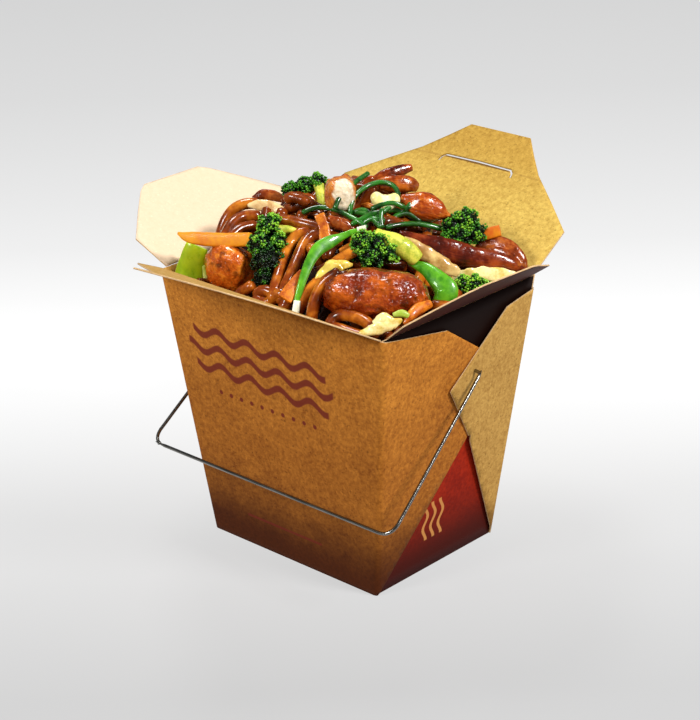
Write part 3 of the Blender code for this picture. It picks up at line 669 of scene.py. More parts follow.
def tube(name, strands, radius, sides, finish, body="carton", stands_for=(), slot=None, closed=False, flatten=1.0):
    """Round rods along paths in mm, joined in one mesh, with rounded ends."""
    curve = bpy.data.curves.new(name, "CURVE")
    curve.dimensions = "3D"
    curve.bevel_depth = radius
    curve.bevel_resolution = sides
    curve.use_fill_caps = True
    for path in strands:
        run = curve.splines.new("POLY")
        ends = rounded_ends(path, radius / MM)
        run.points.add(len(ends) - 1)
        for point, (place, width) in zip(run.points, ends):
            point.co = (*(Vector(place) * MM), 1.0)
            point.radius = width
    holder = bpy.data.objects.new(name, curve)
    bpy.context.scene.collection.objects.link(holder)
    bpy.context.view_layer.update()
    mesh = bpy.data.meshes.new_from_object(holder.evaluated_get(bpy.context.evaluated_depsgraph_get()))
    bpy.data.objects.remove(holder, do_unlink=True)
    shape = bmesh.new()
    shape.from_mesh(mesh)
    bmesh.ops.recalc_face_normals(shape, faces=shape.faces)
    return piece(name, shape, finish, body=body, stands_for=stands_for, slot=slot)


def rounded_ends(path, radius):
    """(place, width) along a path whose first and last points are rounded off."""
    points = [Vector(p) for p in path]
    first = (points[1] - points[0]).normalized()
    last = (points[-1] - points[-2]).normalized()
    head = [(points[0] - first * radius * 0.45, 0.35), (points[0] - first * radius * 0.3, 0.75)]
    tail = [(points[-1] + last * radius * 0.3, 0.75), (points[-1] + last * radius * 0.45, 0.35)]
    return head + [(p, 1.0) for p in points] + tail


def smooth_path(points, step):
    """Catmull-Rom run through the points in mm, sampled about every step."""
    spots = [Vector(p) for p in points]
    spots = [2 * spots[0] - spots[1], *spots, 2 * spots[-1] - spots[-2]]
    run = []
    for a, b, c, d in zip(spots, spots[1:], spots[2:], spots[3:]):
        count = max(1, round((c - b).length / step))
        for i in range(count):
            t = i / count
            run.append(0.5 * ((2 * b) + (c - a) * t + (2 * a - 5 * b + 4 * c - d) * t * t
                              + (3 * b - a - 3 * c + d) * t * t * t))
    return run + [spots[-2]]


def bail():
    half = [Vector((x, y, 0)) for x, y in BAIL_PATH]
    points = half + [Vector((-p.x, p.y, p.z)) for p in reversed(half[:-1])]
    turn = Matrix.Rotation(BAIL_DROP, 3, "X")
    path = [turn @ p + PIVOT / MM for p in smooth_path(points[:12], 0.8)]
    path += [turn @ p + PIVOT / MM for p in smooth_path(points[12:], 0.8)][:]
    tube("bail_rod", [path], WIRE / 2, 4, steel_finish(), body="bail", stands_for=("bail",), slot="bail_wire")


# ---------------------------------------------------------------- food shapes

def swept(shape, rows, thick, face, sides=16, square=0.8, cap=0.5, cup=0.0, lumps=0.0, ripple=0.0, seed=0.0,
          rim=False):
    """Flattened rings through (x, y, z, width) rows in mm, the broad side towards face, the ends drawn in.

    The "lay" of a point is its travel along the run and its place across it, in metres.
    """
    layer = shape.verts.layers.float_vector.get("lay") or shape.verts.layers.float_vector.new("lay")
    run = smooth_path(rows, 1.0)
    spots = [p.to_3d() for p in run]
    widths = [max(0.4, p.w) for p in run]
    ways = [(b - a).normalized() for a, b in zip([spots[0], *spots], [*spots[1:], spots[-1]])]
    ways[0], ways[-1] = (spots[1] - spots[0]).normalized(), (spots[-1] - spots[-2]).normalized()
    steps = [0.0]
    for a, b in zip(spots, spots[1:]):
        steps.append(steps[-1] + (b - a).length)
    rings = [(spots[0] - ways[0] * cap * widths[0] / 2 * k, ways[0], widths[0], math.sqrt(1.02 - k * k), 0.0)
             for k in (1.0, 0.92, 0.65, 0.3)]
    rings += [(p, t, w, 1.0, d) for p, t, w, d in zip(spots, ways, widths, steps)]
    rings += [(spots[-1] + ways[-1] * cap * widths[-1] / 2 * k, ways[-1], widths[-1], math.sqrt(1.02 - k * k), steps[-1])
              for k in (0.3, 0.65, 0.92, 1.0)]
    face, widest = Vector(face).normalized(), max(widths)
    made = []
    for place, along, width, full, travel in rings:
        up = (face - along * face.dot(along)).normalized()
        out = up.cross(along)
        deep = thick * min(1.0, (width / widest) ** 0.5) * full
        ring = []
        for i in range(sides):
            turn = 2 * math.pi * i / sides
            c = math.copysign(abs(math.cos(turn)) ** square, math.cos(turn))
            s = math.copysign(abs(math.sin(turn)) ** square, math.sin(turn))
            wave = ripple * width * c * math.sin(0.9 * travel + (2.1 if c > 0 else 0.0) + seed)
            at = place + out * (width / 2 * full * c) + up * (deep / 2 * s - cup * width * full * c * c + wave)
            swell = lumps * (noise.noise(at * 0.30 + Vector((seed, 0, 0))) + 0.4 * noise.noise(at * 0.8))
            at += (out * c + up * s) * swell * full
            vert = shape.verts.new(at * MM)
            vert[layer] = Vector((travel, c * width / 2, s)) * MM
            ring.append(vert)
        made.append(ring)
    for low, high in zip(made, made[1:]):
        for i in range(sides):
            strip = shape.faces.new((low[i - 1], low[i], high[i], high[i - 1]))
            if rim and abs(math.sin(2 * math.pi * (i - 0.5) / sides)) < rim:
                strip.material_index = 1
    shape.faces.new(made[0])
    shape.faces.new(made[-1])
    return shape


def cut_piece(name, suffix, slot, finishes, rows, thick, face, **form):
    """Topping made of one swept run."""
    shape = swept(bmesh.new(), rows, thick, face, **form)
    bmesh.ops.recalc_face_normals(shape, faces=shape.faces)
    stands_for = (name,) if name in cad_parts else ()
    return piece(name + suffix, shape, *finishes, stands_for=stands_for, slot=slot)


def placed(shape, start, end, face):
    """Lay a shape, long in X and thick in Z, between two points in mm."""
    start, end = Vector(start) * MM, Vector(end) * MM
    along = (end - start).normalized()
    thick = Vector(face)
    thick = (thick - along * thick.dot(along)).normalized()
    turn = Matrix((along, thick.cross(along), thick)).transposed().to_4x4()
    turn.translation = (start + end) / 2
    bmesh.ops.transform(shape, matrix=turn, verts=shape.verts)
    return shape


def meat(name, start, end, width, thick, face, seed, finish, slot, fine=5, folds=0.03, box=0.88):
    """Seared, glazed lump with soft dents, shallow folds and a wrinkled skin."""
    length = (Vector(end) - Vector(start)).length * MM
    shape = bmesh.new()
    bmesh.ops.create_icosphere(shape, subdivisions=fine, radius=1.0)
    for vert in shape.verts:
        at = vert.co.copy()
        swell = 1 + 0.10 * noise.noise(at * 1.3 + Vector((seed, 2 * seed, 0)))
        dents = 0.045 * noise.noise(at * 3.0 + Vector((seed * 3.1, 0, 5))) + 0.018 * noise.noise(at * 8 + Vector((0, seed, 1)))
        crease = -folds * (1 - min(1.0, abs(noise.noise(at * 1.5 + Vector((3, seed, 7)))) * 9)) ** 2
        wrinkle = 0.010 * noise.noise(at * 19 + Vector((seed, 1, 2)))
        grown = Vector([math.copysign(abs(c) ** box, c) for c in at]) * (swell + dents + crease + wrinkle - 0.02)
        vert.co = (grown.x * length / 2, grown.y * width * MM / 2, grown.z * thick * MM / 2)
    return piece("glazed_" + name, placed(shape, start, end, face), finish, stands_for=(name,), slot=slot)


def knobs(count, spread=2.0):
    turn = math.pi * (3 - math.sqrt(5))
    found = []
    for i in range(count):
        z = 1 - spread * (i + 0.5) / count
        ring = math.sqrt(max(0.0, 1 - z * z))
        found.append(Vector((ring * math.cos(turn * i), ring * math.sin(turn * i), z)))
    return found


def ball(shape, place, radius, subdivisions):
    made = bmesh.ops.create_icosphere(shape, subdivisions=subdivisions, radius=radius)["verts"]
    bmesh.ops.translate(shape, verts=made, vec=place)
    return made


def broccoli(name, lobes, stalk, bright, seed, finishes):
    """Crown of bud clusters in round lobes on a stalk; the "lay" holds how far out a bud's tip is, for painted shade
    between the buds, and its lobe's painted light level.
    """
    shape = bmesh.new()
    layer = shape.verts.layers.float_vector.new("lay")
    heads = [(Vector(row[:3]) * MM, row[3] / 2 * MM) for row in lobes]
    foot = Vector(stalk[0][:3]) * MM
    for n, (centre, radius) in enumerate(heads):
        # The ball under the buds is painted dark, as painted shade deep in the crown.
        for vert in ball(shape, centre, radius * 0.84, 2):
            vert[layer] = (0.0, -0.4, 0.0)
        for k, way in enumerate(knobs(max(9, int(2.5 * (radius / (1.55 * MM)) ** 2)))):
            way = (way + 0.22 * noise.noise_vector(way * 5 + Vector((seed, n, 0)))).normalized()
            spot = centre + way * radius * (0.90 + 0.10 * noise.noise(way * 3 + Vector((n, seed, 4))))
            buried = any((spot - other).length < 0.78 * size for other, size in heads if other != centre)
            if buried or way.dot((foot - centre).normalized()) > 0.80:
                continue
            turn = way.to_track_quat("Z", "Y")
            for b, bud in enumerate(knobs(22, 1.5)):
                jitter = noise.noise_vector(Vector((k * 3.7 + seed, b * 1.9, n * 5.1))) * 0.45
                at = spot + turn @ (bud + jitter) * (1.35 + 0.35 * noise.noise(way * 9 + Vector((0, seed, n)))) * MM
                size = (0.47 + 0.26 * noise.noise(Vector((k * 1.3, b * 2.7, seed)))) * MM
                for vert in ball(shape, at, size, 1):
                    # Deeper buds are painted darker, as painted shade; bright sets the lobe's painted light level.
                    reach = ((vert.co - centre).length / radius - 0.95) / 0.36
                    vert[layer] = (max(0.0, min(1.0, reach)), bright[n], 0.0)
    buds = len(shape.faces)
    swept(shape, stalk, 0.8 * max(row[3] for row in stalk), VIEW_SIDE, sides=14, square=0.9, cap=0.2, lumps=0.3)
    shape.faces.ensure_lookup_table()
    for face in shape.faces[buds:]:
        face.material_index = 1
    bmesh.ops.recalc_face_normals(shape, faces=shape.faces)
    return piece(name + "_crown", shape, *finishes, stands_for=(name,), slot="broccoli")


# ---------------------------------------------------------------- noodles

NOODLE = 2.15                  # radius of a noodle, mm

# Noodles that lie where they are seen, in mm
HERO_NOODLES = (
    ((-50.0, -14.5, 112.0), (-49.7, -12.0, 116.6), (-48.6, -8.8, 120.3), (-46.5, -5.3, 122.0), (-43.2, -1.8, 122.2)),
    ((-35.7, -25.6, 117.7), (-36.9, -20.7, 120.7), (-36.5, -15.5, 122.1), (-33.2, -11.0, 122.0)),
    ((-33.2, -26.0, 117.5), (-32.8, -20.8, 119.7), (-30.9, -15.5, 120.0)),
    ((-6.5, -4.0, 118.5), (-10.3, -9.6, 120.4), (-12.3, -12.3, 119.8), (-12.6, -15.7, 117.2), (-10.9, -20.2, 114.4),
     (-8.2, -24.8, 112.4), (-5.3, -29.5, 110.3), (-3.2, -33.5, 107.6), (-2.2, -36.0, 104.4)),
    ((0.5, -3.0, 118.5), (-4.7, -9.8, 120.8), (-6.0, -11.6, 120.4), (-5.8, -15.5, 118.6), (-3.3, -21.3, 115.6),
     (-0.9, -26.9, 112.4), (0.4, -31.9, 108.4), (0.8, -34.8, 104.0)),
    ((-9.6, -36.0, 104.4), (-7.9, -35.4, 106.2), (-4.9, -34.5, 106.4), (-2.8, -34.6, 104.9), (-4.0, -36.2, 103.0),
     (-7.0, -37.0, 102.9), (-9.2, -36.9, 103.6)),
    ((-2.4, -35.6, 104.4), (-0.4, -34.6, 106.8), (2.0, -33.9, 106.5), (3.6, -34.6, 104.4), (3.1, -36.2, 102.6)),
    ((24.7, -25.8, 116.8), (20.8, -27.8, 116.1), (17.0, -29.4, 112.6), (14.6, -30.4, 107.9), (13.9, -31.3, 103.0)),
    ((21.5, -27.0, 117.8), (18.4, -30.4, 114.6), (17.0, -33.2, 110.0), (16.9, -35.2, 105.6), (17.0, -36.4, 101.0)),
    ((11.5, -24.0, 112.6), (10.2, -28.9, 109.8), (9.8, -33.2, 105.8), (9.8, -36.3, 101.6)),
    ((27.4, -36.4, 100.8), (25.6, -35.4, 103.0), (26.9, -33.3, 105.0), (31.3, -32.1, 105.8), (37.6, -31.8, 105.6),
     (42.4, -32.4, 104.2)),
    ((26.0, -37.4, 101.6), (30.5, -38.0, 102.8), (35.0, -37.6, 102.6), (39.5, -36.9, 102.2), (42.9, -35.4, 102.3)),
    ((-22.8, -11.2, 122.8), (-18.4, -9.5, 123.0), (-13.0, -8.3, 122.8), (-7.5, -6.3, 122.0), (-3.0, -4.0, 120.4)),
    ((-20.5, -13.4, 118.8), (-15.5, -9.8, 119.9), (-12.5, -8.7, 119.9), (-8.9, -7.5, 119.0)),
    ((8.6, -22.6, 113.6), (12.1, -20.1, 116.2), (13.9, -16.8, 118.2), (16.3, -13.0, 120.2), (17.6, -9.0, 119.2)),
)


def heights_of(node):
    """Function that gives the height of a node's top at a place in mm, or None."""
    shape = bmesh.new()
    shape.from_mesh(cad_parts[node].data)
    tree = BVHTree.FromBMesh(shape)
    shape.free()

    def height(x, y):
        hit = tree.ray_cast(Vector((x * MM, y * MM, 0.3)), Vector((0, 0, -1)))[0]
        return hit.z / MM if hit else None

    return height


def heap_maps():
    """Roof of the noodles on a 1 mm grid."""
    height = heights_of("noodle_heap")
    xs, ys = np.arange(-54, 55), np.arange(-41, 42)
    roof = np.zeros((len(xs), len(ys)))
    for i, x in enumerate(xs):
        for j, y in enumerate(ys):
            found = height(max(-51.9, min(51.9, x)), max(-38.9, min(38.9, y)))
            roof[i, j] = found or 103.0
    return roof


def disc(radius):
    reach = int(math.ceil(radius))
    spots = []
    for i in range(-reach, reach + 1):
        for j in range(-reach, reach + 1):
            if i * i + j * j <= radius * radius:
                spots.append((i, j, math.sqrt(radius * radius - i * i - j * j)))
    return spots


def rest_on(pile, x, y, spots):
    """Height at which a round strand's middle rests over a place."""
    top = 0.0
    for i, j, rise in spots:
        a = min(108, max(0, int(round(x)) + i + 54))
        b = min(82, max(0, int(round(y)) + j + 41))
        top = max(top, pile[a, b] + rise)
    return top


def settle_on(pile, path, spots):
    for x, y, z in path:
        for i, j, rise in spots:
            a = int(round(x)) + i + 54
            b = int(round(y)) + j + 41
            if 0 <= a < 109 and 0 <= b < 83:
                pile[a, b] = max(pile[a, b], z + rise)


def stray(draw, steps):
    """Wandering run of 2 mm steps inside the carton, in X and Y."""
    x, y = draw.uniform(-50, 50), draw.uniform(-38, 38)
    heading = draw.uniform(0, 2 * math.pi)
    bend = draw.normal(0, 0.08)
    flat = []
    for _ in range(steps):
        flat.append((x, y))
        bend = 0.88 * bend + draw.normal(0, 0.035)
        heading += bend
        if abs(x + 5 * math.cos(heading)) > 49.6 or abs(y + 5 * math.sin(heading)) > 37.2:
            heading += 0.5 if bend > 0 else -0.5
        x = min(50.0, max(-50.0, x + 2 * math.cos(heading)))
        y = min(37.6, max(-37.6, y + 2 * math.sin(heading)))
    return flat


def fitting(pile, roof, flat, spots):
    """Longest part of a run that lies on the pile and stays under the roof."""
    heights = [rest_on(pile, x, y, spots) for x, y in flat]
    for _ in range(4):
        around = [heights[0], *heights, heights[-1]]
        heights = [max(h, (a + b) / 2 - 0.12) for h, a, b in zip(heights, around, around[2:])]
    run = []
    best = []
    for (x, y), h in zip(flat, heights):
        fits = h + NOODLE - 1.2 < roof[int(round(x)) + 54, int(round(y)) + 41]
        run = run + [Vector((x, y, h))] if fits else []
        best = run if len(run) > len(best) else best
    return best


def noodle_pile(roof, seed=7):
    """Noodles laid one by one, each over what lies under it, up to the heap's outline; the long ones first."""
    draw = np.random.default_rng(seed)
    spots = disc(NOODLE)
    pile = roof - 16.0
    for path in HERO_NOODLES:
        settle_on(pile, [p - Vector((0, 0, 0.3)) for p in smooth_path(path, 1.0)], spots)
    strands = []
    for count, steps, least in ((110, 40, 14), (120, 26, 9), (160, 16, 5)):
        for _ in range(count):
            room = 0.0
            for flat in [stray(draw, steps) for _ in range(7)]:
                found = fitting(pile, roof, flat, spots)
                low = sum(roof[int(round(p.x)) + 54, int(round(p.y)) + 41] - p.z for p in found)
                if len(found) >= least and low > room:
                    room, best = low, found
            if room:
                strands.append(best)
                settle_on(pile, best, spots)
    return strands


def noodle_core(roof, finish):
    """Smaller heap under the strands, down to the carton's floor."""
    xs, ys = stations((-50.6, 50.6), 2.5), stations((-37.8, 37.8), 2.5)
    shape = flat_grid(xs, ys)
    for vert in shape.verts:
        x, y = vert.co.x, vert.co.y
        z = roof[int(round(x)) + 54, int(round(y)) + 41] - 9.5
        vert.co = (x * MM, y * MM, z * MM)
    wall = bmesh.ops.extrude_edge_only(shape, edges=[e for e in shape.edges if e.is_boundary])["geom"]
    for vert in wall:
        if isinstance(vert, bmesh.types.BMVert):
            vert.co = (vert.co.x * 0.76, vert.co.y * 0.80, 1.6 * MM)
    bmesh.ops.holes_fill(shape, edges=[e for e in shape.edges if e.is_boundary], sides=0)
    bmesh.ops.recalc_face_normals(shape, faces=shape.faces)
    return piece("sauced_core_painted_shade", shape, finish, stands_for=("noodle_heap",), slot="noodle")


# ---------------------------------------------------------------- spring onion

ONION_CURLS = (
    ((-6.5, 19.6, 135.9), (-6.6, 14.3, 134.7), (-5.9, 7.6, 133.2), (-5.1, 2.4, 131.0), (-4.7, -0.2, 128.3)),
    ((-1.6, 4.3, 125.5), (-2.5, 6.0, 128.7), (-3.0, 9.8, 131.5), (-2.5, 15.1, 133.2), (-0.2, 19.1, 134.0),
     (3.6, 20.8, 133.6), (6.9, 20.3, 132.2), (9.2, 18.2, 130.4), (10.4, 14.2, 129.2), (10.2, 9.5, 127.9),
     (9.7, 5.8, 126.1)),
    ((-15.2, -6.0, 125.9), (-13.2, -2.3, 127.0), (-9.8, 0.5, 127.2), (-4.8, 1.5, 126.8), (0.4, 1.6, 126.0),
     (4.7, 1.7, 125.0), (8.1, 2.2, 123.2)),
    ((8.5, 11.9, 127.0), (11.1, 15.5, 126.6), (14.2, 18.5, 124.6), (17.4, 20.8, 122.4), (20.1, 23.7, 120.8),
     (23.6, 27.4, 119.2)),
    ((14.0, 6.2, 123.4), (16.2, 10.8, 123.6), (17.9, 15.9, 123.0), (20.1, 20.9, 121.6), (23.2, 25.1, 119.8)),
    ((11.2, 7.4, 129.2), (12.3, 5.6, 126.8), (14.0, 4.2, 124.0)),
    ((8.8, 20.3, 129.8), (12.1, 20.4, 130.0), (14.2, 19.1, 128.8), (13.7, 16.9, 127.0)),
    ((3.5, -0.1, 124.0), (5.5, 2.9, 125.6), (7.6, 5.5, 127.2), (10.2, 7.9, 128.0)),
    ((-0.4, 6.2, 125.6), (4.7, 6.0, 126.4), (9.9, 4.5, 125.6), (13.5, 3.7, 124.2)),
    ((6.3, 7.5, 128.3), (9.0, 10.4, 130.0), (11.7, 13.3, 130.2), (14.1, 15.9, 128.5)),
    ((11.4, 10.3, 123.7), (12.6, 14.4, 125.5), (14.8, 17.8, 125.5), (18.2, 19.8, 123.0)),
    ((6.1, 2.3, 124.0), (9.0, 4.4, 126.0), (13.1, 6.3, 125.6)),
    ((-2.3, 6.1, 125.3), (1.2, 7.7, 126.8), (6.3, 7.4, 126.4), (10.9, 6.6, 124.7)),
    ((7.1, 20.6, 127.6), (9.5, 21.2, 129.5), (13.1, 20.4, 129.3), (14.7, 18.0, 127.7)),
)


# Shreds seen between the larger pieces: (x, y, z, width) in mm
EXTRA_CARROT = (
    ((-3.2, 12.4, 126.2, 1.4), (0.0, 12.6, 127.0, 2.0), (3.2, 12.8, 126.6, 1.4)),
    ((10.4, -14.2, 119.6, 1.4), (12.6, -10.6, 121.0, 2.2), (14.2, -6.8, 121.2, 1.6)),
    ((-30.5, -3.5, 121.4, 1.4), (-26.6, -3.0, 121.8, 2.2), (-22.8, -2.4, 121.6, 1.6)),
)
EXTRA_GREEN = (
    ((-41.4, -31.6, 106.6, 1.4), (-40.6, -31.4, 104.6, 2.6), (-40.4, -32.0, 102.2, 1.8)),
    ((46.8, -26.8, 108.4, 1.6), (48.6, -24.6, 108.8, 2.8), (50.2, -23.0, 107.8, 1.8)),
)
EXTRA_BROWN = (
    ((-9.6, 19.6, 131.0, 2.2), (-8.2, 22.0, 132.4, 3.6), (-6.4, 24.0, 131.8, 2.4)),
    ((-24.0, 3.0, 124.2, 2.2), (-20.4, 4.2, 125.0, 3.4), (-17.0, 5.0, 124.6, 2.2)),
    ((12.0, 2.0, 121.0, 2.4), (15.2, 4.0, 120.2, 3.6), (18.4, 6.4, 118.8, 2.4)),
    ((36.0, 14.0, 109.6, 2.2), (38.0, 10.0, 109.0, 3.2), (39.0, 6.0, 107.6, 2.2)),
)


# ---------------------------------------------------------------- food

CHICKEN_CUT = (Vector((-3.8, 4.0, 133.0)) * MM, 0.0052)

# Crowns: name, lobes (x, y, z, width), stalk rows (x, y, z, width), and each lobe's painted light level, higher where
# light falls on the lobe.
BROCCOLI = (
    ("broccoli_left", ((-19.7, -18.4, 123.1, 8.6), (-15.2, -19.0, 118.2, 7.0), (-18.4, -25.0, 118.6, 7.6),
                       (-13.8, -25.9, 112.9, 11.0), (-12.3, -27.7, 107.6, 9.4)),
     ((-12.8, -11.8, 121.0, 1.6), (-15.0, -14.4, 121.9, 3.0), (-17.4, -17.6, 121.6, 4.4)), (1.0, 0.85, 0.45, 0.1, 0.0)),
    ("broccoli_middle", ((18.4, -10.0, 122.8, 8.4), (21.6, -6.8, 122.4, 7.6), (21.6, -9.6, 119.2, 8.6),
                         (25.6, -5.2, 119.6, 6.4), (17.2, -11.2, 119.6, 6.4)),
     ((31.2, 3.2, 116.2, 5.6), (28.4, 1.0, 119.6, 7.2), (24.0, -2.2, 122.6, 7.2), (19.4, -5.4, 125.2, 4.6)),
     (0.85, 0.9, 0.55, 0.75, 0.35)),
    ("broccoli_right", ((26.9, 27.9, 121.2, 6.6), (30.1, 31.4, 122.8, 8.0), (33.7, 32.1, 118.6, 7.0),
                        (30.5, 28.7, 118.4, 8.2), (27.7, 25.4, 117.5, 5.2)),
     ((27.0, 33.0, 112.0, 2.6), (29.5, 30.0, 117.0, 4.0)), (0.5, 0.7, 0.4, 0.35, 0.2)),
    ("broccoli_back", ((-34.6, 7.6, 126.6, 5.0), (-31.4, 11.6, 128.0, 5.6), (-28.6, 15.6, 129.2, 5.2),
                       (-32.8, 12.4, 126.4, 6.0)),
     ((-22.8, 11.6, 122.0, 2.8), (-24.6, 13.0, 125.6, 3.4), (-26.8, 14.6, 128.6, 3.8)), (0.1, 0.15, 0.3, 0.1)),
    ("broccoli_small", ((44.7, 12.3, 107.2, 5.8), (47.6, 15.1, 107.2, 6.2), (49.6, 17.6, 105.6, 4.6)),
     ((45.0, 17.0, 102.5, 2.0), (46.5, 15.0, 106.0, 3.0)), (0.75, 0.8, 0.6)),
)


def food():
    roof = heap_maps()
    noodles = noodle_finish("glossy_noodle", tone(46, 13, 2), tone(128, 54, 8), tone(200, 114, 24))
    strands = noodle_pile(roof)
    print("noodle strands", len(strands), sum(len(s) for s in strands))
    # Near-black sauce brown for the core: the sauce's colour, darkened as painted shade for the depth seen between the
    # strands.
    sauce_and_deep_shade = glazed("sauce_brown_painted_deep_shade", tone(16, 5, 2), tone(34, 12, 4), tone(58, 24, 8), 200)
    noodle_core(roof, sauce_and_deep_shade)
    tube("tangled_noodles", strands, NOODLE * MM, 2, noodles, slot="noodle")
    hero = noodle_finish("glossy_noodle_top", tone(52, 15, 2), tone(134, 57, 8), tone(208, 124, 32))
    tube("top_noodles", [smooth_path(p, 1.4) for p in HERO_NOODLES], NOODLE * MM, 4, hero, slot="noodle")

    chicken = glazed("glazed_chicken", tone(56, 11, 2), tone(130, 42, 6), tone(204, 98, 20), 110, 0.10, 0.6, 0.2, 0.0016)
    seared = glazed("seared_chicken", tone(104, 28, 4), tone(188, 84, 14), tone(232, 140, 40), 150, 0.13, 0.6, 0.3, 0.0012)
    pale_chicken = glazed("pale_chicken", tone(140, 54, 8), tone(206, 116, 36), tone(240, 182, 100), 150, 0.15, 0.25, 0.2,
                          0.0006, cut=CHICKEN_CUT)
    beef = glazed("glazed_beef", tone(38, 7, 2), tone(92, 25, 6), tone(150, 62, 20), 90, 0.12, 0.45, 0.0, 0.0005, 0.25)
    fold = glazed("glazed_fold", tone(92, 22, 4), tone(168, 68, 12), tone(226, 136, 50), 120, 0.10, 0.3, 0.0, 0.0005, 0.5)
    finger = glazed("glazed_finger", tone(60, 14, 3), tone(132, 48, 8), tone(206, 108, 30), 120, 0.10, 0.3, 0.0, 0.0004, 0.3)
    meat("chicken_front", (17, -31, 110.2), (48.5, -8.5, 109.5), 19, 19.5, UP, 0, chicken, "chicken", 6, 0.03)
    meat("chicken_left", (-39.5, -30.5, 108.0), (-20.5, -28.5, 108.5), 14, 18, UP, 1, seared, "chicken", 5, 0.03)
    meat("chicken_top", (-8.2, 6.4, 124.5), (-8.2, 6.4, 137.6), 11.5, 11, VIEW_SIDE, 2, pale_chicken, "chicken", 5, 0.06, 0.66)
    cut_piece("beef_strip", "_slice", "meat", (beef,),
              ((17.9, 9.4, 121.6, 1.6), (22.1, 12.1, 119.2, 5.0), (27.0, 15.6, 116.6, 8.2), (31.3, 19.4, 114.6, 9.6),
               (35.9, 23.4, 112.7, 9.2), (39.3, 26.5, 111.6, 8.4), (43.9, 31.1, 110.6, 7.2), (48.8, 35.7, 108.5, 4.4),
               (51.6, 37.9, 107.2, 1.4)), 6.4, VIEW_SIDE, sides=22, cup=-0.05, lumps=0.35, seed=3)
    cut_piece("meat_fold", "_slice", "meat", (fold,),
              ((9.8, 19.7, 130.0, 3.0), (13.3, 21.7, 128.3, 8.4), (17.2, 23.8, 127.1, 10.6), (21.5, 26.6, 125.4, 7.2),
               (24.6, 28.9, 124.2, 1.2)), 8.0, VIEW_SIDE, sides=22, lumps=0.5, seed=8)
    shape = swept(bmesh.new(), ((-7.4, 23.4, 131.8, 3.6), (-4.6, 27.6, 133.6, 4.8), (-2.2, 32.4, 134.6, 4.4),
                                (-0.4, 36.0, 135.2, 2.8)), 4.2, VIEW_SIDE, lumps=0.25, seed=2)
    bmesh.ops.recalc_face_normals(shape, faces=shape.faces)
    piece("glazed_meat_finger_left", shape, finger, stands_for=("meat_finger_left",), slot="meat")
    shape = swept(bmesh.new(), ((-1.6, 21.0, 132.6, 4.2), (2.4, 24.6, 132.6, 6.4), (5.2, 28.4, 132.0, 6.2),
                                (6.4, 31.0, 130.6, 3.8)), 5.0, VIEW_SIDE, lumps=0.4, seed=6)
    bmesh.ops.recalc_face_normals(shape, faces=shape.faces)
    piece("glazed_meat_finger_right", shape, finger, stands_for=("meat_finger_right",), slot="meat")

    buds = bud_colour_and_painted_shade()
    stem = skin_finish("broccoli_stem", tone(138, 160, 22), tone(228, 222, 84), 0.4, 0.25, 260)
    for seed, (name, lobes, stalk, bright) in enumerate(BROCCOLI):
        broccoli(name, lobes, stalk, bright, seed, (buds, stem))

    carrot = skin_finish("carrot_orange", tone(196, 84, 0), tone(224, 148, 4), 0.45, 0.05, 60)
    dark_carrot = skin_finish("sauced_carrot", tone(156, 60, 4), tone(224, 132, 26), 0.3, 0.4, 260)
    stick = {"sides": 20, "square": 0.35, "cap": 0.10, "lumps": 0.15}
    cut_piece("carrot_left", "_baton", "carrot", (carrot,),
              ((-48.4, -37.0, 119.0, 0.8), (-43.7, -35.2, 117.9, 4.2), (-32.4, -30.4, 118.2, 5.2), (-22.4, -25.9, 119.5, 5.0)),
              3.2, VIEW_SIDE, **stick)
    cut_piece("carrot_corner", "_baton", "carrot", (dark_carrot,),
              ((49.3, -24.3, 105.0, 1.4), (50.0, -21.4, 107.4, 3.4), (50.0, -17.3, 108.7, 4.0), (50.6, -12.7, 109.1, 3.0)),
              3.4, VIEW_SIDE, lumps=0.2)
    cut_piece("carrot_front", "_baton", "carrot", (dark_carrot,),
              ((5.4, -28.4, 115.0, 1.4), (5.2, -31.3, 112.1, 3.5), (5.4, -35.1, 108.9, 4.9), (5.4, -37.4, 107.0, 5.4)),
              2.4, VIEW_SIDE, **stick)
    cut_piece("carrot_middle", "_baton", "carrot", (dark_carrot,),
              ((-5.9, -7.2, 127.4, 3.8), (-3.2, -7.7, 123.4, 3.8), (-1.0, -9.7, 119.2, 4.2)), 2.4, VIEW_SIDE, **stick)
    cut_piece("carrot_back", "_baton", "carrot", (carrot,),
              ((35.6, 34.0, 117.0, 3.0), (37.9, 36.4, 118.4, 4.2), (40.2, 38.4, 119.2, 4.0)), 2.6, VIEW_SIDE, **stick)

